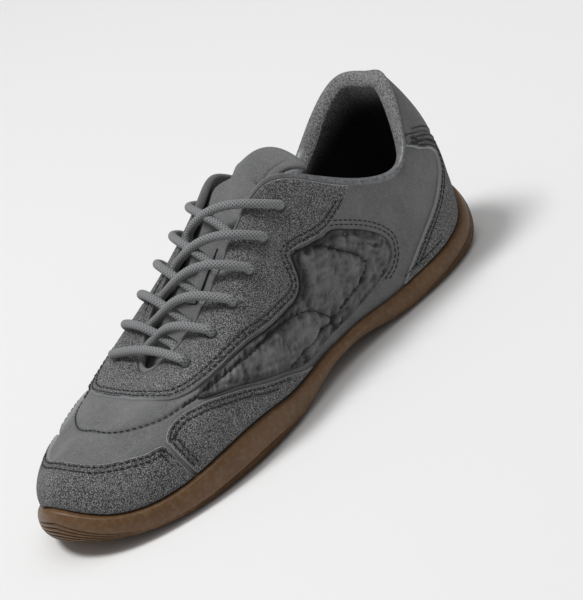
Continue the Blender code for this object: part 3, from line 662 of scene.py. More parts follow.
def make_nylon():
    """Crinkled nylon over foam: sharp little creases every few millimetres, painted lighter along the creases
    and on raised crumples, with painted highlights on the fold crests and painted shade in the fold valleys.
    """
    material, tree, shader, place = new_material("nylon, crinkled", Roughness=0.6, Sheen_Weight=0.04)
    ridged = {"noise_type": "RIDGED_MULTIFRACTAL"}
    crinkle = add(tree, "TexNoise", ridged, Vector=place, Scale=NYLON_FOLDS, Detail=4.0)
    crinkle.inputs["Distortion"].default_value = 0.7
    crease = spread(tree, crinkle.outputs["Fac"], 0.2, 1.4)
    fine = grain(tree, place, 0.7 * MM, 3.0, 0.7)
    crumple = grain(tree, place, 4.5 * MM, 3.0, 0.6, 0.6)
    # Painted light: the nylon is lighter on raised crumples and along the crease lines, where its bump is
    # high.
    tone = mix(tree, spread(tree, crumple, 0.36, 0.64), "#383839", "#656566")
    lined = mix(tree, crease, tone, mix(tree, 0.5, tone, "#7e7e7f"))
    shaded = mix(tree, read_attribute(tree, "inner"), lined, mix(tree, 0.5, "#575758", lined))
    flecked = mix(tree, spread(tree, fine, 0.35, 0.7), "#2c2d2e", "#8a8b8c")
    speckled_tone = mix(tree, 0.25, shaded, flecked)
    # Painted highlight on the panel's fold crests, then painted shade in its fold valleys.
    crest_highlighted = mix(tree, read_attribute(tree, "crest"), speckled_tone, "#8c8c8d")
    folded = mix(tree, read_attribute(tree, "fold"), crest_highlighted, "#1e1e1f")
    tree.links.new(folded, shader.inputs["Base Color"])
    creased = bump(tree, shader, crease, 1.2 * MM)
    crumpled = bump(tree, shader, crumple, 1.6 * MM, 1.0, creased)
    bump(tree, shader, fine, 0.12 * MM, 0.9, crumpled)
    return material


def make_lining():
    """Brushed knit lining: short tufts, very matt, pale grey at the mouth and dark deep inside, a painted
    shade.
    """
    material, tree, shader, place = new_material("brushed knit lining", Roughness=1.0, Sheen_Weight=0.08)
    tuft = grain(tree, place, 0.42 * MM, 2.0, 0.75)
    speckled_tone = mix(tree, spread(tree, tuft, 0.36, 0.64), "#4c4c4d", "#9a9a9b")
    # Painted shade: deep turns the lining dark inside the shoe.
    inside = mix(tree, spread(tree, tuft, 0.32, 0.7), "#101011", "#262627")
    tree.links.new(mix(tree, read_attribute(tree, "deep"), speckled_tone, inside), shader.inputs["Base Color"])
    bump(tree, shader, tuft, 0.6 * MM, 1.0)
    return material


def make_binding():
    """The folded edge of the collar: smooth synthetic leather that catches a line of light."""
    name = "collar binding, synthetic leather"
    material, tree, shader, place = new_material(name, Roughness=0.42, Specular_IOR_Level=0.5)
    fine = grain(tree, place, 0.7 * MM, 3.0)
    tone = mix(tree, spread(tree, fine, 0.3, 0.7), "#505153", "#8a8b8d")
    tree.links.new(tone, shader.inputs["Base Color"])
    bump(tree, shader, fine, 0.08 * MM, 0.7)
    return material


def make_thread(name, colour):
    """Bonded polyester thread: matt, and darker than the skin that it is sewn into."""
    material, tree, shader, place = new_material(name, Roughness=0.8)
    twist = grain(tree, place, 0.3 * MM, 1.0)
    tree.links.new(mix(tree, twist, colour, "#38393a"), shader.inputs["Base Color"])
    bump(tree, shader, twist, 0.08 * MM)
    return material


NYLON = make_nylon()
LINING = make_lining()
BINDING = make_binding()
THREAD = make_thread("bonded thread, grey", "#262627")


# %% Gum rubber and lace
def make_gum():
    """Gum rubber: honey brown, faintly mottled with pale specks, satin, with painted shade in its grooves and
    darker along the bottom of the wall.
    """
    satin = {"Roughness": 0.45, "Specular_IOR_Level": 0.4}
    material, tree, shader, place = new_material("gum rubber, moulded", **satin)
    mottle = grain(tree, place, 14 * MM, 4.0, 0.6)
    speck = grain(tree, place, 1.2 * MM, 2.0)
    tone = mix(tree, spread(tree, mottle, 0.3, 0.7), "#5e4329", "#6b4e31")
    dusty = mix(tree, spread(tree, speck, 0.45, 0.9), tone, "#786049")
    # sunk paints shade into the grooves and darkens the wall's bottom edge.
    sunk = read_attribute(tree, "sunk")
    tree.links.new(mix(tree, sunk, dusty, "#4a3520"), shader.inputs["Base Color"])
    rough = add(tree, "MapRange", Value=mottle)
    rough.inputs["To Min"].default_value = 0.36
    rough.inputs["To Max"].default_value = 0.52
    tree.links.new(rough.outputs["Result"], shader.inputs["Roughness"])
    bump(tree, shader, speck, 0.05 * MM, 0.6)
    return material


def make_cord():
    """Round polyester lace: a braid of fine plaits that cross at an angle, every 1.7 mm."""
    material, tree, shader, place = new_material("polyester braid, round", Roughness=0.8, Sheen_Weight=0.08)
    wrap = tree.nodes.new("ShaderNodeUVMap")
    wrap.uv_map = "wrap"
    parts = tree.nodes.new("ShaderNodeSeparateXYZ")
    tree.links.new(wrap.outputs["UV"], parts.inputs["Vector"])
    plaits = []
    for lean in (1.0, -1.0):
        slope = {"operation": "MULTIPLY_ADD"}
        slant = add(tree, "Math", slope, _0=parts.outputs["Y"], _1=lean, _2=parts.outputs["X"])
        turn = add(tree, "Math", {"operation": "MULTIPLY"}, _0=slant.outputs[0], _1=2 * math.pi)
        plaits.append(add(tree, "Math", {"operation": "SINE"}, _0=turn.outputs[0]).outputs[0])
    braid = add(tree, "Math", {"operation": "MAXIMUM"}, _0=plaits[0], _1=plaits[1]).outputs[0]
    raised = spread(tree, braid, -0.6, 1.0)
    fuzz = grain(tree, place, 0.35 * MM, 2.0)
    tone = mix(tree, raised, "#606162", "#a2a3a4")
    fuzzy = mix(tree, 0.25, tone, mix(tree, fuzz, "#444546", "#7a7b7c"))
    tree.links.new(fuzzy, shader.inputs["Base Color"])
    bump(tree, shader, fuzz, 0.06 * MM, 0.6, bump(tree, shader, raised, 0.30 * MM, 0.9))
    return material


GUM = make_gum()
CORD = make_cord()
print("materials:", [m.name for m in bpy.data.materials][-9:])

# %% [markdown]
# The upper's skin
#
# On the real shoe the base is a one-piece nubuck vamp and quarter. It is closed at the heel, folded over
# a foam roll at the collar and lined with brushed knit. Here it is one closed ring: up the outside, over
# the roll, down the lining and back underneath. Its relief has the seam across the vamp, the quarter's
# edge raised round the panel, and soft creases where the upper bends.

# %% Outlines of the pieces that lie on the upper
SEAT = 0.014
TOE_CAP = (
    (10.0, SEAT), (9.2, SEAT), (8.4, SEAT), (7.7, SEAT), (7.27, SEAT), (7.41, 0.15), (7.55, 0.28),
    (7.64, 0.325), (7.96, 0.345), (8.39, 0.365), (9.06, 0.370), (9.6, 0.373), (10.0, 0.376),
)
WING = (
    (7.20, SEAT), (6.8, SEAT), (6.3, SEAT), (5.7, SEAT), (5.1, SEAT), (4.66, SEAT), (4.70, 0.018),
    (5.10, 0.080), (5.72, 0.147), (6.1, 0.215), (6.48, 0.294), (6.78, 0.365), (7.04, 0.412),
    (7.24, 0.440), (7.41, 0.442), (7.54, 0.418), (7.59, 0.370), (7.49, 0.28), (7.34, 0.15),
)
EYESTAY = (
    (10.0, 0.985), (9.2, 0.985), (8.4, 0.985), (7.6, 0.985), (6.8, 0.985), (6.0, 0.985), (5.4, 0.985),
    (4.9, 0.985), (4.4, 0.985), (4.0, 0.985), (3.62, 0.985), (3.67, 0.91), (3.82, 0.775), (3.94, 0.700),
    (4.10, 0.650), (4.28, 0.622), (4.47, 0.606), (4.66, 0.588), (4.59, 0.506), (4.55, 0.438),
    (4.57, 0.400), (4.66, 0.372), (4.82, 0.363), (5.41, 0.375), (5.78, 0.406), (6.39, 0.463),
    (7.02, 0.544), (7.48, 0.619), (7.95, 0.705), (8.45, 0.765), (9.2, 0.815), (10.0, 0.835),
)
SIDE_PANEL = (
    (3.03, 0.35), (3.04, 0.29), (3.10, 0.23), (3.34, 0.15), (3.75, 0.072), (4.20, 0.055), (4.70, 0.045),
    (5.10, 0.100), (5.72, 0.167), (6.10, 0.235), (6.48, 0.314), (6.76, 0.382), (6.95, 0.440),
    (6.90, 0.505), (6.39, 0.443), (5.78, 0.386), (5.41, 0.355), (4.82, 0.343), (4.62, 0.354),
    (4.52, 0.390), (4.50, 0.438), (4.54, 0.512), (4.58, 0.575), (4.44, 0.586), (4.24, 0.603),
    (4.06, 0.632), (3.90, 0.670), (3.64, 0.656), (3.45, 0.625), (3.28, 0.575), (3.13, 0.500), (3.05, 0.43),
)
HEEL_COUNTER = (
    (0.0, SEAT), (0.5, SEAT), (1.0, SEAT), (1.6, SEAT), (2.3, SEAT), (2.97, SEAT), (2.86, 0.07),
    (2.72, 0.14), (2.54, 0.225), (2.30, 0.300), (2.05, 0.332), (1.83, 0.346), (1.60, 0.350),
    (1.45, 0.365), (1.42, 0.395), (1.48, 0.455), (1.65, 0.569), (1.91, 0.731), (2.03, 0.844),
    (2.17, 0.985), (2.07, 0.985), (1.98, 0.925), (1.74, 0.780), (1.52, 0.650), (1.33, 0.536),
    (1.02, 0.380), (0.75, 0.285), (0.40, 0.205), (0.0, 0.180),
)
HEEL_TAB = (
    (0.0, 0.200), (0.40, 0.225), (0.75, 0.307), (1.02, 0.402), (1.32, 0.558), (1.51, 0.672),
    (1.73, 0.803), (1.96, 0.945), (2.01, 0.985), (1.6, 0.985), (1.2, 0.985), (0.8, 0.985), (0.4, 0.985),
    (0.0, 0.985),
)
EYELETS = ((4.72, 0.844), (5.11, 0.750), (5.51, 0.694), (5.98, 0.681), (6.55, 0.719), (7.25, 0.775))
EYELET_DIAMETER = 5.0 * MM

# Seams sewn through the pieces, as places on the outer side
VAMP_SEAM = (
    (10.0, 0.62), (9.34, 0.606), (8.38, 0.581), (7.64, 0.531), (7.25, 0.506), (6.83, 0.45), (6.21, 0.369),
    (5.66, 0.325), (5.25, 0.312), (4.88, 0.3), (4.62, 0.281), (4.42, 0.25), (4.23, 0.181), (4.1, 0.088),
)
POCKET_SEAM = (
    (4.60, 0.590), (4.45, 0.588), (4.1, 0.581), (3.82, 0.519), (3.6, 0.45), (3.47, 0.369), (3.5, 0.3),
    (3.75, 0.2), (4.12, 0.138), (4.58, 0.113), (5.03, 0.106),
)
PANEL_POCKET = (
    (4.58, 0.575), (4.45, 0.588), (4.1, 0.581), (3.82, 0.519), (3.6, 0.45), (3.47, 0.369), (3.5, 0.3),
    (3.75, 0.2), (4.1, 0.15), (4.23, 0.181), (4.42, 0.25), (4.62, 0.281), (4.88, 0.3), (4.60, 0.36),
    (4.50, 0.438), (4.54, 0.512),
)
PANEL_EDGE = (
    (3.98, 0.664), (3.90, 0.670), (3.64, 0.656), (3.45, 0.625), (3.28, 0.575), (3.13, 0.500), (3.05, 0.43),
    (3.03, 0.35), (3.04, 0.29), (3.10, 0.23), (3.22, 0.185),
)
LINE_STEP = 0.8 * MM


def eyelet_places():
    """Each eyelet's place: the outer row from the heel forward, then the inner one."""
    return [*EYELETS, *((TURN - around, up) for around, up in EYELETS)]


# %% Relief of the skin
PADDING_ENDS = 4.9
PADDING_FADE = 1.2
PADDING_FROM = 0.55
PADDING_RISE = 0.35


def wall_thickness(distance, up):
    """The wall: thin everywhere, padded inward towards the collar by two smooth ramps."""
    collar = ramp((PADDING_ENDS - from_heel(distance)) / PADDING_FADE)
    return WALL + COLLAR_PADDING * collar * ramp((up - PADDING_FROM) / PADDING_RISE)


def trough(gap, width, depth):
    """A soft valley of a Gaussian section, depth deep at gap 0."""
    return -depth * np.exp(-((gap / width) ** 2))


def ridge_line(points, places):
    """Distance of points from an open line on the upper."""
    return nearest(points, lift_line(smooth_line(places, False, LINE_STEP), 0.0))


CREASES = (
    ("behind the panel", ((2.75, 0.55), (2.95, 0.72), (3.15, 0.86)), 3.0, 0.5),
    ("below the collar", ((2.1, 0.62), (2.5, 0.70), (2.9, 0.80), (3.3, 0.90)), 3.6, 0.45),
    ("vamp, first bend", ((6.75, 0.50), (7.4, 0.60), (8.2, 0.68)), 2.4, 0.3),
    ("vamp, second bend", ((7.6, 0.46), (8.4, 0.52), (9.4, 0.55), (10.0, 0.56)), 3.4, 0.25),
)


def skin_relief(points):
    """Height of the skin's own relief: seam, creases and a gentle unevenness, in metres."""
    relief = ripple(points, 26 * MM, 3) * 0.16 * MM
    for _, places, width, depth in CREASES:
        for line in (places, other_side(places)):
            relief += trough(ridge_line(points, line), width * MM, depth * MM)
    for line in (VAMP_SEAM, other_side(VAMP_SEAM)):
        gap = ridge_line(points, line)
        relief += trough(gap, 0.9 * MM, 0.55 * MM) - trough(gap - 2.2 * MM, 1.3 * MM, 0.2 * MM)
    for line in (PANEL_EDGE, other_side(PANEL_EDGE)):
        relief -= trough(ridge_line(points, line) - 2.9 * MM, 2.6 * MM, 0.55 * MM)
    return relief


# %% Build the skin
SKIN_COLUMNS = 400
SKIN_ROWS = 110
COLLAR_ENDS = 4.55
UNDER_MOUTH = 0.97
LINING_FOOT = 0.02
ROLL_ROWS = 10
LINING_ROWS = 34
ROLL_SHARE = 0.42
BINDING_FROM = 0.982
PIT_DEPTH = 1.7 * MM
PIT_EDGE = 0.6 * MM
RELIEF_FADE = 0.02
LIP_FROM = 0.978
LIP_RISE = 0.012
LIP_PROUD = 0.25 * MM
LINED_HEEL = 2.12
LINING_FADE = 0.42
THROAT_FROM = 4.9
THROAT_SHADE = 0.8
VAMP_SEAM_SHADE = 0.35


def cup_ring(distance, inset, height):
    """A ring in the cup: inset from where the upper stands, at a height over the cup's floor."""
    tuck, cover = read_sections(distance)[3:5]
    x, y, _, _ = outline(distance, tuck + RIM_THICKNESS + GAP + cover + inset)
    return np.stack([x, y, floor_lift(x) + OUTSOLE_THICKNESS + height], -1) - SOLE_MIDDLE


def make_skin():
    """The hollow upper: outside, rolled collar, lining and the turned-in lower edge, as one closed ring."""
    distance = columns_round(SKIN_COLUMNS)
    levels = np.linspace(0, 1, SKIN_ROWS)
    far, up = np.meshgrid(distance, levels)
    relief = skin_relief(on_upper(far, up).reshape(-1, 3)).reshape(far.shape)
    for around, level in eyelet_places():
        gap = np.linalg.norm(on_upper(far, up) - on_upper(round_to_knots(around), level), axis=-1)
        relief -= PIT_DEPTH * ramp((EYELET_DIAMETER / 2 - gap) / PIT_EDGE + 0.5)
    relief *= ramp((1.0 - up) / RELIEF_FADE)
    cover = read_sections(distance)[4]
    relief += (cover + LIP_PROUD) * ramp((up - LIP_FROM) / LIP_RISE)
    outside = on_upper(far, up, relief)
    edge = on_upper(distance, 1.0, cover + LIP_PROUD)
    lining = on_upper(distance, 1.0, -wall_thickness(distance, 1.0))
    below = on_upper(distance, UNDER_MOUTH, -wall_thickness(distance, UNDER_MOUTH) / 2)
    middle = (edge + lining) / 2
    crest = (middle - below) / np.linalg.norm(middle - below, axis=-1, keepdims=True)
    crest = crest * (wall_thickness(distance, 1.0) + cover)[:, None] * ROLL_SHARE
    angle = np.linspace(0, np.pi, ROLL_ROWS + 2)[1:-1, None, None]
    roll = middle + crest * np.sin(angle) + (edge - middle) * np.cos(angle)
    down = np.linspace(1, LINING_FOOT, LINING_ROWS)
    far_in, up_in = np.meshgrid(distance, down)
    soft = ripple(on_upper(far_in, up_in), 18 * MM, 8) * 0.3 * MM * ramp((1 - up_in) / 0.1)
    inside = on_upper(far_in, up_in, soft - wall_thickness(far_in, up_in))
    stand = cup_ring(distance, WALL, GAP)
    turned = stand * (1, 1, 0) + np.outer(rim_top(distance), (0, 0, 1))
    rings = [cup_ring(distance, 0, GAP)[None], outside, roll, inside, turned[None], stand[None]]
    points = np.concatenate(rings)
    count = len(points)
    row = np.repeat(np.arange(count), SKIN_COLUMNS)
    column = np.arange(SKIN_COLUMNS)
    column = np.minimum(column, SKIN_COLUMNS - column)
    place = np.tile(column, count)
    collar = place < SKIN_COLUMNS * COLLAR_ENDS / TURN
    heel = place < SKIN_COLUMNS * LINED_HEEL / TURN
    inner_row = 1 + SKIN_ROWS + ROLL_ROWS
    starts = np.where(heel, SKIN_ROWS + 1, np.where(collar, inner_row - ROLL_ROWS * 0.4, inner_row))
    bound = (row >= BINDING_FROM * SKIN_ROWS) & (row < starts) & collar
    lined = row >= starts
    faces = ring_faces(count, SKIN_COLUMNS, joined=True)[:, ::-1]
    skin = piece(
        "upper_skin", points.reshape(-1, 3), faces, [NUBUCK_SKIN, BINDING, LINING], ["upper"],
        np.where(bound, 1, np.where(lined, 2, 0)),
    )
    sewn = np.zeros((count, SKIN_COLUMNS))
    outside_points = outside.reshape(-1, 3)
    # Painted shadow along the vamp seam's valley, kept in the seam attribute.
    for line in (VAMP_SEAM, other_side(VAMP_SEAM)):
        gap = ridge_line(outside_points, line).reshape(outside.shape[:2])
        shade = np.exp(-((gap / (0.8 * MM)) ** 2)) * VAMP_SEAM_SHADE
        sewn[1 : 1 + SKIN_ROWS] = np.maximum(sewn[1 : 1 + SKIN_ROWS], shade)
    attribute(skin, "edge", np.zeros(count * SKIN_COLUMNS))
    attribute(skin, "seam", sewn.reshape(-1))
    # Painted shade on the lining: darker the deeper it lies in the shoe, and dark in the throat under the
    # tongue.
    deep = np.zeros((count, SKIN_COLUMNS))
    deep[inner_row:] = 1
    deep[inner_row:-2] = ramp((1 - up_in) / LINING_FADE)
    throat = column > SKIN_COLUMNS * THROAT_FROM / TURN
    deep[inner_row:, throat] = np.maximum(deep[inner_row:, throat], THROAT_SHADE)
    attribute(skin, "deep", deep.reshape(-1))


make_skin()

# %% [markdown]
# Overlays
#
# Suede toe cap, wings, eyestay and heel counter, the nubuck heel tab and the nylon side panels are cut
# flat with a knife, skived thin at the edge, and stitched down in one or two rows. Each is cut here from
# its outline as a fine patch that follows the skin. Its edge rounds over in the last millimetre, and on
# suede it is painted pale there: the paler cut fibres, together with a painted highlight on the rolled
# edge. The stitching pulls a small valley into it, with a painted shadow along each row.

# %% Cut a patch from the skin
CELL = 0.9 * MM
EDGE_RINGS = (0.3 * MM, 0.85 * MM)
GRID_CLEAR = 1.35 * MM
RING_CLEAR = 0.22 * MM
HOLE_CLEAR = 0.5 * MM
ROW_SQUEEZE = 0.87
EDGE_ROUND = 0.9 * MM
EDGE_PALE = 0.55 * MM
UNDERLAP = 0.25 * MM
SEAM_WIDTH = 0.6 * MM
SEAM_SHADE = 0.4
FORM_CONTRAST = 0.7
FOLD_FROM = 0.1
FOLD_SHADE = 0.8
CREST_FROM = 0.15
CREST_HIGHLIGHT = 0.55


def inside_loop(grid, loop):
    """Which flat points lie inside a closed flat line: an odd number of crossings of a ray."""
    start, end = loop, np.roll(loop, -1, 0)
    run = np.where(end[:, 1] == start[:, 1], 1.0, end[:, 1] - start[:, 1])
    found = np.empty(len(grid), bool)
    for first in range(0, len(grid), BLOCK):
        spot = grid[first : first + BLOCK, None]
        crosses = (start[:, 1] > spot[..., 1]) != (end[:, 1] > spot[..., 1])
        at = start[:, 0] + (spot[..., 1] - start[:, 1]) * (end[:, 0] - start[:, 0]) / run
        found[first : first + BLOCK] = (crosses & (spot[..., 0] < at)).sum(1) % 2 == 1
    return found


def hole_loops(places, sides=18):
    """Rings of flat points round each eyelet, a true circle on the upper."""
    rings = []
    for around, up in places:
        flat = np.array([[float(round_to_knots(around)), up * FLAT_HEIGHT]])
        _, along, climb, normal = frame_of(flat[:, 0], flat[:, 1] / FLAT_HEIGHT)
        climb = climb / FLAT_HEIGHT
        angle = 2 * np.pi * np.arange(sides) / sides
        east = along / np.linalg.norm(along)
        north = np.cross(normal, east)
        want = (east * np.cos(angle)[:, None] + north * np.sin(angle)[:, None]) * EYELET_DIAMETER / 2
        basis = np.stack([along[0], climb[0]], -1)
        rings.append(flat + np.linalg.lstsq(basis, want.T, rcond=None)[0].T)
    return rings


def cut_patch(places, holes=()):
    """(flat points, triangles, outline) of a patch: a triangulation of its outline, two rows along its
    edge and a staggered grid inside, without the triangles over its holes."""
    loop = run_positive(smooth_line(places, True, CELL))
    low, high = loop.min(0), loop.max(0)
    across = np.arange(low[0], high[0], CELL)
    climb = np.arange(low[1], high[1], CELL * ROW_SQUEEZE)
    grid = np.stack(np.meshgrid(across, climb), -1)
    grid[1::2, :, 0] += CELL / 2
    grid = grid.reshape(-1, 2)
    grid = grid[inside_loop(grid, loop)]
    grid = grid[nearest(lift_line(grid, 0.0), lift_line(loop, 0.0)) > GRID_CLEAR]
    rows = [shift_line(loop, -inset, True) for inset in EDGE_RINGS]
    rows = [row[inside_loop(row, loop)] for row in rows]
    rows = [row[nearest(lift_line(row, 0.0), lift_line(loop, 0.0)) > RING_CLEAR] for row in rows]
    rings = hole_loops(holes)
    for ring in rings:
        gap = nearest(lift_line(grid, 0.0), lift_line(ring, 0.0))
        grid = grid[(gap > HOLE_CLEAR) & ~inside_loop(grid, ring)]
    points = np.concatenate([loop, *rings, *rows, grid])
    edges = []
    start = len(loop)
    for ring in rings:
        edges += [(start + k, start + (k + 1) % len(ring)) for k in range(len(ring))]
        start += len(ring)
    rim = [list(range(len(loop)))]
    found = geometry.delaunay_2d_cdt([Vector(p) for p in points], edges, rim, 1, 1e-8)
    flat = np.array([tuple(v) for v in found[0]])
    triangles = np.array([tuple(face) for face in found[2]])
    middle = flat[triangles].mean(1)
    for ring in rings:
        triangles = triangles[~inside_loop(middle, ring)]
        middle = flat[triangles].mean(1)
    return flat, triangles, loop, rings


STITCH_VALLEY = 0.9 * MM
STITCH_PULL = 0.42 * MM
panel_tops = []


def overlay(name, places, thickness, material, seams=(), holes=(), relief=None, pocket=None):
    """A sheet over the skin. seams are flat lines sewn down, relief adds the sheet's own form, and pocket
    is the outline of its fuller part."""
    flat, triangles, loop, rings = cut_patch(places, holes)
    face = lift_line(flat, 0.0)
    edge_gap = nearest(face, lift_line(np.concatenate([loop, *rings]), 0.0))
    roll = np.sqrt(1 - (1 - np.clip(edge_gap / EDGE_ROUND, 0, 1)) ** 2)
    top = LAY_GAP + thickness * (0.5 + 0.5 * roll)
    seam = np.zeros(len(flat))
    top += ripple(face, 17 * MM, len(name)) * 0.10 * MM * roll
    for line in seams:
        gap = nearest(face, lift_line(line, 0.0))
        top += trough(gap, STITCH_VALLEY, STITCH_PULL)
        # Painted shadow along the stitch row, kept as seam for the material.
        seam = np.maximum(seam, np.exp(-((gap / SEAM_WIDTH) ** 2)))
    if relief is not None:
        form = relief(face, edge_gap, flat)
        top += form
        # Painted light and shade from the sheet's own relief: shade darkens its valleys, crest is a painted
        # highlight on its ridges.
        level = (form - form.mean()) / MM
        shade = np.clip(FOLD_FROM - level * FORM_CONTRAST, 0, 1) * FOLD_SHADE
        crest = np.clip(level * FORM_CONTRAST - CREST_FROM, 0, 1) * CREST_HIGHLIGHT
        panel_tops.append((face, top))
    count = len(flat)
    points = np.concatenate([lift_line(flat, top), lift_line(flat, np.full(count, -UNDERLAP))])
    pairs = np.concatenate([triangles[:, [0, 1]], triangles[:, [1, 2]], triangles[:, [2, 0]]])
    keys = {(a, b) for a, b in pairs.tolist()}
    rim = [(b, a, count + a, count + b) for a, b in keys if (b, a) not in keys]
    faces = triangles.tolist() + (triangles[:, ::-1] + count).tolist() + sorted(rim)
    obj = piece(name, points, faces, [material], [name.replace("_cover", "")])
    # The edge attribute marks the rolled cut edge; on suede it is painted pale, partly cut fibres and partly
    # a painted highlight.
    attribute(obj, "edge", np.tile(np.exp(-((edge_gap / EDGE_PALE) ** 2)), 2))
    attribute(obj, "seam", np.tile(seam * SEAM_SHADE, 2))
    if pocket is not None:
        # fold carries the painted shade, crest the painted highlight.
        attribute(obj, "fold", np.tile(shade, 2))
        attribute(obj, "crest", np.tile(crest, 2))
        pocket = smooth_line(pocket, True, CELL)
        inner = inside_loop(flat, pocket) * ramp(nearest(face, lift_line(pocket, 0.0)) / (2 * MM))
        attribute(obj, "inner", np.tile(inner, 2))
    print(name, "length and height over the upper in mm", surface_size(loop))


# %% Seams and the forms of the nylon
ROW_ONE = 1.5 * MM
ROW_TWO = 3.9 * MM
SHORTEST_ROW = 4


def edge_rows(places, insets=(ROW_ONE, ROW_TWO)):
    """Stitch rows beside an outline, at real distances in from its edge."""
    loop = run_positive(smooth_line(places, True, LINE_STEP))
    return [shift_line(loop, -inset, True) for inset in insets]


def keep(line, test):
    """The stretches of a line where a test of (around, up) holds, as separate lines."""
    good = test(from_heel(line[:, 0]), line[:, 1] / FLAT_HEIGHT)
    cuts = np.flatnonzero(np.diff(good.astype(int))) + 1
    parts = zip(np.split(line, cuts), np.split(good, cuts))
    return [part for part, ok in parts if ok[0] and len(part) > SHORTEST_ROW]


def folds(flat, seed):
    """Wrinkles that run up the shoe: fine along its length and long up its height, with sharp crests."""
    stretched = np.stack([flat[:, 0], flat[:, 1] * 0.24 + flat[:, 0] * 0.25, 0 * flat[:, 0]], -1)
    wave = ripple(stretched, 6.5 * MM, seed)
    return 1 - 2 * np.abs(wave) ** 0.8


def wrinkles(face, flat, lean, pitch, seed):
    """Uneven parallel folds, lean radians round from the sole line, that come and go."""
    along = flat @ np.array([np.cos(lean), np.sin(lean)])
    drift = 2.2 * ripple(face, 13 * MM, seed)
    fade = ramp(0.45 + 0.9 * ripple(face, 8 * MM, seed + 1))
    return (1 - np.abs(np.sin(np.pi * along / pitch + drift)) * 2) * fade


FOAM = 1.2 * MM
FOAM_RISE = 7 * MM
FOAM_UNEVEN = 0.45 * MM
WRINKLES = ((0.9, 5.5 * MM, 31, 0.42 * MM), (2.0, 8.0 * MM, 47, 0.30 * MM))
RIM_WAVE = 3.6 * MM
RIM_WAVE_HEIGHT = 0.30 * MM
PUCKERS = ((POCKET_SEAM, 5.5 * MM), (VAMP_SEAM[5:], 4.5 * MM))
PUCKER_HEIGHT = 0.62 * MM
PULL_HEIGHT = 0.60 * MM


def panel_relief(side):
    """The nylon's form: foam between the seams, a fuller pocket, and folds that run across each seam."""

    def relief(face, edge_gap, flat):
        swell = FOAM * ramp(edge_gap / FOAM_RISE) + ripple(face, FOAM_RISE, 5) * FOAM_UNEVEN
        for lean, pitch, seed, height in WRINKLES:
            swell += wrinkles(face, flat, side * lean, pitch, seed) * height
        rim = np.sin(2 * np.pi * edge_gap / RIM_WAVE + ripple(face, 15 * MM, 8))
        near_rim = ramp(edge_gap / (2 * MM)) * ramp((11 * MM - edge_gap) / (4 * MM))
        swell += rim * RIM_WAVE_HEIGHT * near_rim
        for places, reach in PUCKERS:
            gap = ridge_line(face, on_side(places, side))
            pucker = folds(flat, 21) * np.exp(-((gap / reach) ** 2)) * PUCKER_HEIGHT
            swell += trough(gap, 1.2 * MM, 1.1 * MM) + pucker
        pull = folds(flat, 9) * np.exp(-((edge_gap / FOAM_RISE) ** 2)) * PULL_HEIGHT
        tuck = NYLON_PUFF * np.exp(-((edge_gap / (0.8 * MM)) ** 2))
        return (swell + pull) * ramp(edge_gap / (1.6 * MM)) - tuck

    return relief


# %% Lay the overlays on
PANEL_ROWS = (1.9 * MM, 3.9 * MM)
PANEL_THREAD = 0.60 * MM
PANEL_REACH = 1.5 * MM
THREAD_SINK = 0.3
SUEDE_TOP = LAY_GAP + SUEDE
stitch_rows = []


def on_nylon(line, lift=0.05 * MM):
    """Heights of a line over whichever panel is under it, or over the skin where none is."""
    face = np.concatenate([part[0] for part in panel_tops])
    top = np.concatenate([part[1] for part in panel_tops])
    heights = np.full(len(line), lift)
    for k, spot in enumerate(lift_line(line, 0.0)):
        gap = np.linalg.norm(face - spot, axis=1)
        near = np.argpartition(gap, 4)[:4]
        if gap[near].min() < PANEL_REACH:
            heights[k] += np.average(top[near], weights=1 / (gap[near] + 0.05 * MM))
    return heights


def sew(lines, test):
    """Remembers the kept stitch rows for the thread, and gives them as valleys for the sheet."""
    parts = [part for line in lines for part in keep(line, test)]
    stitch_rows.extend((part, SUEDE_TOP - STITCH_PULL * THREAD_SINK) for part in parts)
    return parts


def above_seat(around, up):
    return up > 0.07


def cap_top(around, up):
    return up > 0.2


def off_the_mouth(around, up):
    return (up < 0.88) & (up > 0.07)


for side, tag in ((1, "outer"), (-1, "inner")):
    panel, wing = on_side(SIDE_PANEL, side), on_side(WING, side)
    overlay(
        f"side_panel_{tag}_cover", panel, NYLON_PUFF, NYLON,
        relief=panel_relief(side), pocket=on_side(PANEL_POCKET, side),
    )
    overlay(f"wing_{tag}_cover", wing, SUEDE, SUEDE_SKIN, sew(edge_rows(wing), above_seat))
    panel_edge = smooth_line(on_side(PANEL_EDGE, side), False, LINE_STEP)
    for row in PANEL_ROWS:
        stitch_rows.append((shift_line(panel_edge, row, False), PANEL_THREAD))
    pocket = smooth_line(on_side(POCKET_SEAM, side), False, LINE_STEP)
    stitch_rows.append((pocket, on_nylon(pocket)))
SUEDE_PIECES = (
    ("toe_cap_cover", TOE_CAP, cap_top, ()),
    ("eyestay_cover", EYESTAY, off_the_mouth, eyelet_places()),
    ("heel_counter_cover", HEEL_COUNTER, off_the_mouth, ()),
)
for name, half, test, holes in SUEDE_PIECES:
    whole = both_sides(half)
    overlay(name, whole, SUEDE, SUEDE_SKIN, sew(edge_rows(whole), test), holes)
tab = both_sides(HEEL_TAB)
tab_rows = sew(edge_rows(tab, (ROW_ONE,)), off_the_mouth)
overlay("heel_tab_cover", tab, SUEDE, TAB_SKIN, tab_rows)
print("stitch rows:", len(stitch_rows))

# %% [markdown]
# Thread
#
# Lockstitch shows as a row of short raised dashes with the thread sunk at each needle hole. The heavy
# seam across the vamp is a twisted hand stitch: each turn of thread lies aslant. Every stitch is a small
# capsule, and one mesh holds them all.

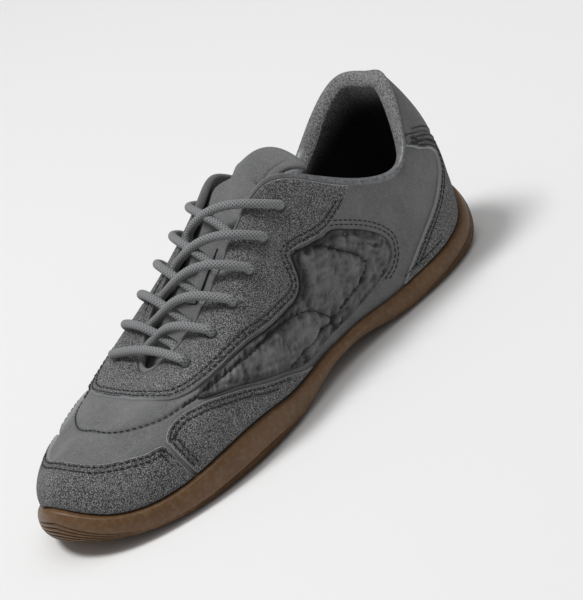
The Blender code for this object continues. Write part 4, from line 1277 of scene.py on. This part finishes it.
# %% Sew
CAPSULE_RINGS = ((-0.50, 0.30), (-0.36, 0.85), (0.0, 1.0), (0.36, 0.85), (0.50, 0.30))
CAPSULE_SIDES = 6
LOOK_AHEAD = 0.4 * MM
LOCKSTITCH = {"pitch": 2.9 * MM, "length": 2.2 * MM, "radius": 0.31 * MM, "slant": 0.0}
HAND_STITCH = {"pitch": 2.6 * MM, "length": 3.3 * MM, "radius": 0.62 * MM, "slant": math.radians(24)}


def capsule():
    """Points of one stitch, a unit long and a unit in radius, its sides and its two ends."""
    angle = 2 * np.pi * np.arange(CAPSULE_SIDES) / CAPSULE_SIDES
    rings = [[(x, r * np.cos(a), r * np.sin(a)) for a in angle] for x, r in CAPSULE_RINGS]
    return np.array(rings).reshape(-1, 3), *tube_faces(len(rings), CAPSULE_SIDES)


def sew_thread(name, rows, pitch, length, radius, slant):
    """One mesh of stitches, spaced evenly along each row and turned by slant about the surface's normal."""
    shape, sides, caps = capsule()
    centres, ways, outs = [], [], []
    for flat, height in rows:
        height = np.broadcast_to(height, len(flat))
        gone = run_length(lift_line(flat, height))
        at = np.arange(pitch / 2, gone[-1], pitch)
        place, ahead = read_line(flat, gone, at), read_line(flat, gone, at + LOOK_AHEAD)
        here = lift_line(place, np.interp(at, gone, height))
        centres.append(here)
        ways.append(lift_line(ahead, np.interp(at + LOOK_AHEAD, gone, height)) - here)
        outs.append(frame_of(place[:, 0], place[:, 1] / FLAT_HEIGHT)[3])
    centre, way, out = (np.concatenate(part) for part in (centres, ways, outs))
    way /= np.maximum(np.linalg.norm(way, axis=1, keepdims=True), 1e-9)
    side = np.cross(out, way)
    way, side = way * np.cos(slant) + side * np.sin(slant), side * np.cos(slant) - way * np.sin(slant)
    spots = (
        centre[:, None]
        + way[:, None] * shape[:, 0, None] * length
        + side[:, None] * shape[:, 1, None] * radius
        + out[:, None] * shape[:, 2, None] * radius * 0.8
    )
    shift = np.arange(len(centre))[:, None, None] * len(shape)
    quads = (np.array(sides)[None] + shift).reshape(-1, 4).tolist()
    ends = (np.array(caps)[None] + shift).reshape(-1, CAPSULE_SIDES).tolist()
    print(name, len(centre), "stitches")
    piece(name, spots.reshape(-1, 3), quads + ends, [THREAD])


TWIST_FROM = 7.35
TWIST_ENDS = 5.0
vamp_line = smooth_line([*VAMP_SEAM[::-1], *((TURN - a, u) for a, u in VAMP_SEAM[1:])], False, LINE_STEP)
for part in keep(vamp_line, lambda a, u: (a > TWIST_FROM) | (a < TWIST_ENDS)):
    stitch_rows.append((part, on_nylon(part)))
sew_thread("lockstitch", stitch_rows, **LOCKSTITCH)
middle_parts = keep(vamp_line, lambda a, u: (a < TWIST_FROM) & (a > TWIST_ENDS))
twisted = [(part, on_nylon(part)) for part in middle_parts]
sew_thread("vamp_twist", twisted, **HAND_STITCH)

# %% [markdown]
# The gum cupsole
#
# One rubber moulding: a thin tread, a low sidewall with a soft outward belly, and a rim that hides the
# lower edge of the upper. Fine grooves run round the heel and the toe. They start together low on the
# wall at mid-foot and fan out until they nearly fill its height at the heel's back and at the toe tip, so
# the table says for each section how far up they reach and how deep they are cut.

# %% Mould the sole
SOLE_COLUMNS = 480
WALL_ROWS = 92
RIM_ROUND = 0.45 * MM
GROOVE_COUNT = 8
GROOVE_DEPTH = 0.9 * MM
GROOVE_REACH = (
    (0, 0.88, 1.0), (1, 0.86, 1.0), (2, 0.66, 0.9), (3, 0.40, 0.3), (4, 0.36, 0.0), (5, 0.40, 0.2),
    (6, 0.50, 0.9), (7, 0.46, 0.7), (8, 0.40, 0.0), (9, 0.60, 0.5), (10, 0.82, 1.0), (11, 0.78, 1.0),
    (12, 0.60, 0.6), (13, 0.46, 0.3), (14, 0.44, 0.6), (15, 0.40, 0.2), (16, 0.36, 0.0), (17, 0.40, 0.3),
    (18, 0.66, 0.9), (19, 0.86, 1.0), (20, 0.88, 1.0),
)


def sidewall(distance, up, groove):
    """A point of the sidewall: a cubic Bezier of (reach, height) from the tread's edge to the rim."""
    x, _, wall, tuck = read_sections(distance)[:4]
    t = np.asarray(up)
    weights = ((1 - t) ** 3, 3 * (1 - t) ** 2 * t, 3 * (1 - t) * t**2, t**3)
    reach = (-TREAD_INSET, 0.2 * TREAD_INSET, SIDE_BELLY, -tuck)
    rise = (0.0, 0.02 * wall, 0.62 * wall, wall)
    out = sum(w * r for w, r in zip(weights, reach)) - groove
    px, py, _, _ = outline(distance, -out)
    height = floor_lift(x) + sum(w * r for w, r in zip(weights, rise))
    return np.stack([px, py, height], -1) - SOLE_MIDDLE


def cap_faces(start, columns):
    """Quads across a closed ring, from each column to its mirror over the shoe's length."""
    quads = [(k, k + 1, columns - k - 1, columns - k) for k in range(1, columns // 2 - 1)]
    tips = [(0, 1, columns - 1), (columns // 2 - 1, columns // 2, columns // 2 + 1)]
    return [tuple(start + k for k in face) for face in quads + tips]


def make_sole():
    """The outsole as rings: tread edge, grooved wall, rounded rim, cup wall and cup floor."""
    distance = columns_round(SOLE_COLUMNS)
    reach = np.interp(distance, KNOTS, [row[1] for row in GROOVE_REACH])
    share = np.interp(distance, KNOTS, [row[2] for row in GROOVE_REACH])
    levels = np.linspace(0, 1, WALL_ROWS)[:, None]
    phase = np.clip(levels / reach, 0, 1) * GROOVE_COUNT
    cut = np.clip(np.cos(2 * np.pi * phase) * -1.0, 0, 1) ** 0.8 * share
    cut *= ramp(levels / reach / 0.06) * ramp((1.02 - levels / reach) / 0.05)
    wall = sidewall(distance[None], levels + 0 * distance[None], cut * GROOVE_DEPTH)
    x, _, _, tuck, cover = read_sections(distance)[:5]
    inner = tuck + RIM_THICKNESS + cover
    rim = wall[-1, :, 2]
    half = (inner - tuck) / 2
    rings = [wall]
    for angle in np.radians((30, 60, 90, 120, 150)):
        px, py, _, _ = outline(distance, tuck + half * (1 - np.cos(angle)))
        height = rim + RIM_ROUND * np.sin(angle)
        rings.append(np.stack([px - SOLE_MIDDLE[0], py - SOLE_MIDDLE[1], height], -1)[None])
    px, py, _, _ = outline(distance, inner)
    flat = np.stack([px, py, 0 * px], -1) - SOLE_MIDDLE
    for height in (rim, floor_lift(x) + OUTSOLE_THICKNESS):
        rings.append((flat + np.outer(height, (0, 0, 1)))[None])
    points = np.concatenate(rings)
    count = len(points)
    faces = ring_faces(count, SOLE_COLUMNS, joined=False)[:, ::-1].tolist()
    bottom = cap_faces(0, SOLE_COLUMNS)
    top = [face[::-1] for face in cap_faces((count - 1) * SOLE_COLUMNS, SOLE_COLUMNS)]
    kinds = np.zeros(len(faces) + len(bottom) + len(top))
    kinds[len(faces) : len(faces) + len(bottom)] = 1
    faces += bottom + top
    sole = piece("gum_cupsole", points.reshape(-1, 3), faces, [GUM, TREAD], ["outsole"], kinds)
    sunk = np.zeros((count, SOLE_COLUMNS))
    # Painted shade in the groove cuts, and the lowest rows of the wall darker.
    sunk[:WALL_ROWS] = cut * 0.9 + 0.35 * ramp(1 - levels / 0.05)
    attribute(sole, "sunk", np.clip(sunk, 0, 1).reshape(-1))


TREAD_WAVE = 39.0


def make_tread():
    """The underside: the same rubber with shallow ribs across it, 2 pi / (20 * TREAD_WAVE) m = 8 mm apart."""
    material, tree, shader, place = new_material("gum rubber, tread", Roughness=0.62)
    wave = add(tree, "TexWave", {"wave_profile": "SIN"}, Vector=place, Scale=TREAD_WAVE)
    speck = grain(tree, place, 1.5 * MM)
    tone = mix(tree, spread(tree, speck, 0.3, 0.8), "#5f4529", "#765835")
    tree.links.new(tone, shader.inputs["Base Color"])
    bump(tree, shader, wave.outputs["Fac"], 0.8 * MM, 0.8)
    return material


TREAD = make_tread()
make_sole()

# %% [markdown]
# The footbed
#
# A thin foam board under brushed fabric, which lies loose in the cup, and the foot stands on it. Nothing
# in the picture shows it. Here it is a low sheet to the cup's outline, drawn in towards its upper edge.

# %% Lay the footbed in
FOOTBED = 3.5 * MM
FOOTBED_STEPS = ((0.0, 0.0), (0.0, 0.7), (0.15, 0.9), (0.5, 1.0))


def make_footbed():
    """The footbed as rings: each step is how many mm it is drawn in, and its share of the height."""
    distance = columns_round(SOLE_COLUMNS)
    thick = FOOTBED - GAP
    rings = []
    for draft, share in FOOTBED_STEPS:
        rings.append(cup_ring(distance, WALL + GAP + draft * MM, GAP + share * thick))
    faces = ring_faces(len(rings), SOLE_COLUMNS, joined=False)[:, ::-1].tolist()
    faces += cap_faces(0, SOLE_COLUMNS)
    faces += [face[::-1] for face in cap_faces((len(rings) - 1) * SOLE_COLUMNS, SOLE_COLUMNS)]
    footbed = piece("footbed", np.concatenate(rings), faces, [LINING], ["insole"])
    # Painted shade: the footbed takes the lining's darkest, deep-inside tone all over.
    attribute(footbed, "deep", np.ones(len(rings) * SOLE_COLUMNS))


make_footbed()

# %% [markdown]
# The tongue
#
# A smooth synthetic leather over thin foam, folded and stitched round its free edge. It comes up from
# under the vamp, lies close below the throat, and its end stands back over the instep. A narrow strip
# sewn along it keeps the laces in the middle.

# %% Shape the tongue
TONGUE_THICKNESS = 3.0 * MM
TONGUE_REACH = 28 * MM
TONGUE_RISE = 5 * MM
TONGUE_SWING = 3 * MM
TONGUE_WIDTH = 46 * MM
TONGUE_FALL = 9 * MM
TONGUE_SWEEP = 3 * MM
TONGUE_SINK = 3.2 * MM
TONGUE_ROWS = ((9.3, 0.10), (8.6, 0.11), (7.9, 0.12), (7.2, 0.13), (6.5, 0.13), (5.8, 0.12), (5.1, 0.11))
TONGUE_END = (
    (0.25, 0.70, 0.92, 0.46), (0.50, 0.64, 0.72, 0.80), (0.75, 0.78, 0.66, 1.00), (0.93, 0.98, 0.92, 1.04),
    (1.00, 0.95, 1.00, 0.88),
)
WING_SHARES = (1.0, 0.5, 0.0)
TONGUE_CROWN = 0.12
TONGUE_BRIDGE = 7
TONGUE_FINE = (170, 110)


def tongue_section(row, spread_share):
    """Points across the tongue at a row of the throat: two wings under the upper and a bridge between."""
    depth = -(WALL + 2 * GAP)
    wings = []
    for distance in (place_on(row, 1), place_on(row, -1)):
        wings.append([on_upper(distance, 1 - spread_share * share, depth) for share in WING_SHARES])
    (a, b, c), (f, e, d) = wings
    reach = TONGUE_CROWN * np.linalg.norm(d - c)
    start = (c - b) / np.linalg.norm(c - b) * reach
    end = (d - e) / np.linalg.norm(d - e) * reach
    t = np.linspace(0, 1, TONGUE_BRIDGE)[1:-1, None]
    bridge = (1 - t) ** 3 * c + 3 * (1 - t) ** 2 * t * (c + start)
    bridge = bridge + 3 * (1 - t) * t**2 * (d + end) + t**3 * d
    return np.array([a, b, c, *bridge, d, e, f])


def tongue_sections():
    """The tongue's upper face, from its root under the vamp to its free end lying back over the instep."""
    sections = [tongue_section(row, share) for row, share in TONGUE_ROWS]
    last = sections[-1].copy()
    for row, section_points in enumerate(sections):
        section_points -= np.array([0, 0, TONGUE_SINK]) * ramp((len(sections) - row) / 3.0)
    middle = len(last) // 2
    t = np.linspace(1, -1, len(last))
    for back, width, fall, lift in TONGUE_END:
        centre = last[middle] + (-back * TONGUE_REACH, back * TONGUE_SWING, lift * TONGUE_RISE)
        arc = np.stack([t**2 * TONGUE_SWEEP, t * width * TONGUE_WIDTH / 2, -(t**2) * fall * TONGUE_FALL], -1)
        sections.append(centre + arc)
    return np.array(sections)


def through(rows, places):
    """Catmull-Rom curve through the rows of an array, read at places counted in rows."""
    last = len(rows) - 1
    padded = np.concatenate([2 * rows[:1] - rows[1:2], rows, 2 * rows[-1:] - rows[-2:-1]])
    i = np.clip(np.floor(places).astype(int), 0, last - 1)
    t = (places - i).reshape(-1, *[1] * (rows.ndim - 1))
    a, b, c, d = (padded[i + k] for k in range(4))
    return 0.5 * (2 * b + (c - a) * t + (2 * a - 5 * b + 4 * c - d) * t**2 + (3 * b - a - 3 * c + d) * t**3)


def normals_of(grid):
    """Upward unit normals of a grid of points."""
    normal = np.cross(np.gradient(grid, axis=0), np.gradient(grid, axis=1))
    normal /= np.linalg.norm(normal, axis=-1, keepdims=True)
    return normal * np.sign(normal[..., 2:].mean())


def make_tongue():
    """The tongue as a soft slab: full in the middle, rounded at its edge, with a stitched fold round it."""
    coarse = tongue_sections()
    ease = np.linspace(0, 1, TONGUE_FINE[0])
    rows = (len(coarse) - 1) * (ease + 0.12 * np.sin(2 * np.pi * ease) / (2 * np.pi))
    cross = np.linspace(0, 1, TONGUE_FINE[1])
    columns = (coarse.shape[1] - 1) * (cross - 0.6 * np.sin(2 * np.pi * cross) / (2 * np.pi))
    face = through(coarse, rows)
    face = through(face.transpose(1, 0, 2), columns).transpose(1, 0, 2)
    normal = normals_of(face)
    border = np.concatenate([face[:, 0], face[:, -1], face[-1]])
    gap = nearest(face.reshape(-1, 3), border).reshape(face.shape[:2])
    half = TONGUE_THICKNESS / 2
    roll = np.sqrt(1 - (1 - np.clip(gap / half, 0.02, 1)) ** 2)
    soft = ripple(face, 13 * MM, 31) * 0.28 * MM * ramp(gap / (6 * MM))
    fold = trough(gap - 4.2 * MM, 0.9 * MM, 0.45 * MM)
    middle = face - normal * half
    top = middle + normal * (half * roll + (soft + fold))[..., None]
    bottom = middle - normal * (half * roll)[..., None]
    points = np.concatenate([top.reshape(-1, 3), bottom.reshape(-1, 3)])
    unsewn(piece("tongue_cover", points, slab_faces(*face.shape[:2]), [TAB_SKIN], ["tongue"]))
    return face, normal


tongue_face, tongue_normal = make_tongue()

# %% [markdown]
# The lace
#
# One round braided cord, about 4 mm thick, laced over and under. From each eyelet it crosses the throat,
# dives under the far edge and comes up through the next eyelet there. It is followed here as one line
# from the top eyelet of one side, down to the bar at the throat's front, and back up to the top eyelet of
# the other side. Both ends go inside the shoe, out of sight, as in the picture.

# %% Follow the lace
LACE_DIAMETER = 4.2 * MM
LACE_SEAT = 0.6 * MM
LACE_LIFT = 1.2 * MM
LACE_ARCH = 0.48
LACE_DIP = 0.6
LACE_DIVES = (5.90, 6.35, 6.80, 7.30, 7.90)
LACE_LOW = 2.4 * MM
LACE_HIGH = 4.6 * MM
LACE_SOFTNESS = 1.1 * MM
LACE_SIDES = 20
LACE_STEP = 0.45 * MM
CROSSING_POINTS = 40
TOP_DEPTHS = (5.5 * MM, 1.0 * MM)
EYELET_DEPTHS = (3.6 * MM, 0.6 * MM)
UNDER_UP = 0.93
UNDER_SHARE = 0.55
LAST_PAIR = len(EYELETS) - 1
BRAID_PITCH = 1.7 * MM
PLAITS_ROUND = 7


def eyelet_frame(pair, side):
    """(centre on the skin, outward normal) of an eyelet on one side."""
    around, up = EYELETS[pair]
    distance = place_on(around, side)
    return on_upper(distance, up), frame_of(distance, up)[3]


def over_eyelet(pair, side):
    """Where the lace lies over its eyelet, and the way out of the upper there."""
    centre, normal = eyelet_frame(pair, side)
    return centre + normal * (SUEDE_TOP + LACE_SEAT + LACE_DIAMETER / 2), normal


def under_edge(pair, side):
    """Where the lace dives under the far edge of the throat, abreast of the eyelet that it comes up next."""
    distance = place_on(LACE_DIVES[pair], side)
    edge, below = on_upper(distance, 1.0), on_upper(distance, UNDER_MOUTH)
    outward = (on_upper(distance, 1.0, MM) - edge) / MM
    climb = (edge - below) / np.linalg.norm(edge - below)
    clear = LACE_DIAMETER / 2 - WALL + LACE_LIFT
    return edge + climb * (LACE_DIAMETER / 2 + WALL) + outward * clear, outward


def crossing(start, end, lift):
    """A length of lace arched over the throat: a cubic Bezier, lifted in the middle."""
    (p0, out0), (p3, out3) = start, end
    way = p3 - p0
    reach = LACE_ARCH * np.linalg.norm(way)
    away0, away3 = way - out0 * (way @ out0), out3 * (way @ out3) - way
    p1 = p0 + away0 / np.linalg.norm(away0) * reach
    p2 = p3 + away3 / np.linalg.norm(away3) * reach * LACE_DIP
    t = np.linspace(0, 1, CROSSING_POINTS)[:, None]
    spine = (1 - t) ** 3 * p0 + 3 * (1 - t) ** 2 * t * p1 + 3 * (1 - t) * t**2 * p2 + t**3 * p3
    return spine + np.array([0, 0, lift]) * np.sin(np.pi * t)


def below_eyelet(pair, side, depth):
    """A place behind an eyelet, depth under the skin."""
    centre, normal = eyelet_frame(pair, side)
    return centre - normal * depth


def half_lace(side):
    """From behind the top eyelet of one side down to the last eyelet, crossing the throat five times."""
    places = [below_eyelet(0, side, depth) for depth in TOP_DEPTHS]
    for pair in range(LAST_PAIR):
        lift = LACE_HIGH if side > 0 else LACE_LOW
        places += list(crossing(over_eyelet(pair, side), under_edge(pair, -side), lift))
        side = -side
        distance = place_on(LACE_DIVES[pair], side)
        places.append(on_upper(distance, UNDER_UP, -(WALL + LACE_DIAMETER * UNDER_SHARE)))
        places += [below_eyelet(pair + 1, side, depth) for depth in EYELET_DEPTHS]
    return np.array(places), side


def even_line(points, step):
    """The same line with its points a step apart."""
    gone = run_length(points)
    at = np.linspace(0, gone[-1], max(2, round(gone[-1] / step)))
    return read_line(points, gone, at)


def relaxed(points, reach):
    """The line with its corners eased by a Gaussian that keeps both ends."""
    step = np.linalg.norm(points[1] - points[0])
    width = int(3 * reach / step)
    weights = np.exp(-0.5 * (np.arange(-width, width + 1) * step / reach) ** 2)
    weights /= weights.sum()
    ends = [2 * points[:1] - points[width:0:-1], points, 2 * points[-1:] - points[-2 : -width - 2 : -1]]
    padded = np.concatenate(ends)
    return np.stack([np.convolve(padded[:, k], weights, "valid") for k in range(3)], -1)


def cord(name, spine, replaced):
    """A round braided cord along a line, with the braid's own mapping: x along it, y round it."""
    ahead = np.gradient(spine, axis=0)
    ahead /= np.linalg.norm(ahead, axis=1, keepdims=True)
    side = np.empty_like(ahead)
    side[0] = np.cross(ahead[0], (0.3, 0.2, 1.0))
    for k in range(1, len(spine)):
        side[k] = side[k - 1]
        side[k] -= ahead[k] * (side[k] @ ahead[k])
        side[k] /= np.linalg.norm(side[k])
    side[0] /= np.linalg.norm(side[0])
    rise = np.cross(side, ahead)
    gone = run_length(spine)
    angle = 2 * np.pi * np.arange(LACE_SIDES) / LACE_SIDES
    ring = side[:, None] * np.cos(angle)[:, None] + rise[:, None] * np.sin(angle)[:, None]
    points = (spine[:, None] + ring * LACE_DIAMETER / 2).reshape(-1, 3)
    quads, caps = tube_faces(len(spine), LACE_SIDES)
    obj = piece(name, points, quads + caps, [CORD], replaced)
    corner = np.array([i for face in quads + caps for i in face])
    turn = (corner % LACE_SIDES) / LACE_SIDES
    quads_turn = turn[: 4 * len(quads)].reshape(-1, 4)
    wrapped = np.where(quads_turn.max(1, keepdims=True) - quads_turn > 0.5, quads_turn + 1, quads_turn)
    turn[: 4 * len(quads)] = wrapped.reshape(-1)
    along = gone[corner // LACE_SIDES] / BRAID_PITCH
    layer = obj.data.uv_layers.new(name="wrap")
    layer.data.foreach_set("uv", np.stack([along, turn * PLAITS_ROUND], -1).astype(np.float32).reshape(-1))
    return gone[-1]


first, end_side = half_lace(1)
second, _ = half_lace(-1)
bar = crossing(over_eyelet(LAST_PAIR, end_side), over_eyelet(LAST_PAIR, -end_side), LACE_LOW)
lace_line = np.concatenate([first, bar, second[::-1]])
lace_line = relaxed(even_line(lace_line, LACE_STEP), LACE_SOFTNESS)
lace_length = cord("lace", lace_line, [f"lace_{k}" for k in range(1, 6)] + ["lace_bar"])
print("lace length:", round(lace_length / MM), "mm")

# %% [markdown]
# The lace keeper
#
# A short strip of the tongue's own material, sewn down at both ends, through which the laces pass so that
# the tongue doesn't slide. Here it is a thin slab along the tongue's middle at the second crossing, raised
# a little between its ends. In the picture the near strand runs under it, and here both pass over it.

# %% Sew the keeper on
KEEPER_WIDTH = 6 * MM
KEEPER_SPAN = 12 * MM
KEEPER_THICKNESS = 0.9 * MM
KEEPER_RISE = 0.3 * MM
KEEPER_CROWN = 0.5 * MM
KEEPER_PAIR = 1


def make_keeper():
    """A strip along the tongue's middle, sewn at both ends, where the second pair of strands crosses."""
    over = crossing(over_eyelet(KEEPER_PAIR, 1), under_edge(KEEPER_PAIR, -1), LACE_HIGH)
    under = crossing(over_eyelet(KEEPER_PAIR, -1), under_edge(KEEPER_PAIR, 1), LACE_LOW)
    gap = np.linalg.norm(over[:, None] - under[None], axis=-1)
    meet = over[gap.min(axis=1).argmin()]
    middle = tongue_face.shape[1] // 2
    line, out = tongue_face[:, middle], tongue_normal[:, middle]
    across = tongue_face[:, middle + 4] - tongue_face[:, middle - 4]
    across /= np.linalg.norm(across, axis=1, keepdims=True)
    share = (line[:, 0] - meet[0]) / KEEPER_SPAN
    kept = np.abs(share) < 1
    line, out, across, share = line[kept], out[kept], across[kept], share[kept]
    print("keeper: rows", len(line), "x in mm", (line[[0, -1], 0] / MM).round(1).tolist())
    rise = KEEPER_THICKNESS + KEEPER_RISE * ramp(1.5 * (1 - np.abs(share)))
    spots = np.linspace(-0.5, 0.5, 13) * KEEPER_WIDTH
    crown = KEEPER_CROWN * (1 - (spots / spots[-1]) ** 2)
    lift = (rise[:, None] + crown)[..., None]
    top = line[:, None] + across[:, None] * spots[None, :, None] + out[:, None] * lift
    bottom = top - normals_of(top) * KEEPER_THICKNESS
    points = np.concatenate([top.reshape(-1, 3), bottom.reshape(-1, 3)])
    unsewn(piece("lace_keeper", points, slab_faces(*top.shape[:2]), [TAB_SKIN]))


make_keeper()

# %% [markdown]
# Floor, light and camera
#
# The photograph was taken on a pale floor under a wide soft light. The lens and place of the camera are
# those at which the outlines of sole, collar and seams fall on the photograph's.

# %% Stage, light and camera
FLOOR = 3.0
SKY = 0.25
LIGHTS = (("key", (0.9, -0.8, 3.0), 0.9, 66), ("overhead", (-0.2, 0.3, 3.0), 2.6, 21))
mesh = bpy.data.meshes.new("floor")
corners = [(-FLOOR, -FLOOR, 0), (FLOOR, -FLOOR, 0), (FLOOR, FLOOR, 0), (-FLOOR, FLOOR, 0)]
mesh.from_pydata(corners, [], [(0, 1, 2, 3)])
floor = bpy.data.objects.new("floor", mesh)
bpy.context.scene.collection.objects.link(floor)
floor_material, _, floor_shader, _ = new_material("studio paper", Roughness=0.9)
floor_shader.inputs["Base Color"].default_value = linear("#efefef")
mesh.materials.append(floor_material)

world = bpy.data.worlds.new("studio")
world.use_nodes = True
world.node_tree.nodes["Background"].inputs["Color"].default_value = (1.0, 1.0, 1.0, 1.0)
world.node_tree.nodes["Background"].inputs["Strength"].default_value = SKY
bpy.context.scene.world = world


def soft_light(name, place, size, power):
    """A large square lamp, its place and size in metres and its power in watts, turned to the shoe."""
    lamp = bpy.data.lights.new(name, "AREA")
    lamp.size = size
    lamp.energy = power
    obj = bpy.data.objects.new(name, lamp)
    obj.location = place
    obj.rotation_euler = (-Vector(place)).to_track_quat("-Z", "Y").to_euler()
    bpy.context.scene.collection.objects.link(obj)


for light in LIGHTS:
    soft_light(*light)
bpy.context.scene.view_settings.view_transform = "Standard"

CAMERA_PLACE = (0.6140, 0.7756, 0.4715)
CAMERA_AZIMUTH = 0.6924
CAMERA_ELEVATION = 0.4175
CAMERA_ROLL = -0.4142
LENS = 140.66
SENSOR = 36.0


def aim_camera():
    """A camera at the fitted place: its axes from azimuth and elevation, then turned by the roll."""
    azimuth, elevation = CAMERA_AZIMUTH, CAMERA_ELEVATION
    level = math.cos(elevation)
    back = Vector((math.sin(azimuth) * level, math.cos(azimuth) * level, math.sin(elevation)))
    right = (-back).cross(Vector((0, 0, 1))).normalized()
    up = right.cross(-back)
    c, s = math.cos(CAMERA_ROLL), math.sin(CAMERA_ROLL)
    axis_x, axis_y = right * c + up * s, up * c - right * s
    data = bpy.data.cameras.new("camera")
    data.sensor_fit = "VERTICAL"
    data.sensor_height = SENSOR
    data.lens = LENS
    camera = bpy.data.objects.new("camera", data)
    matrix = Matrix((axis_x, axis_y, back)).transposed().to_4x4()
    matrix.translation = CAMERA_PLACE
    camera.matrix_world = matrix
    bpy.context.scene.collection.objects.link(camera)
    bpy.context.scene.camera = camera


aim_camera()
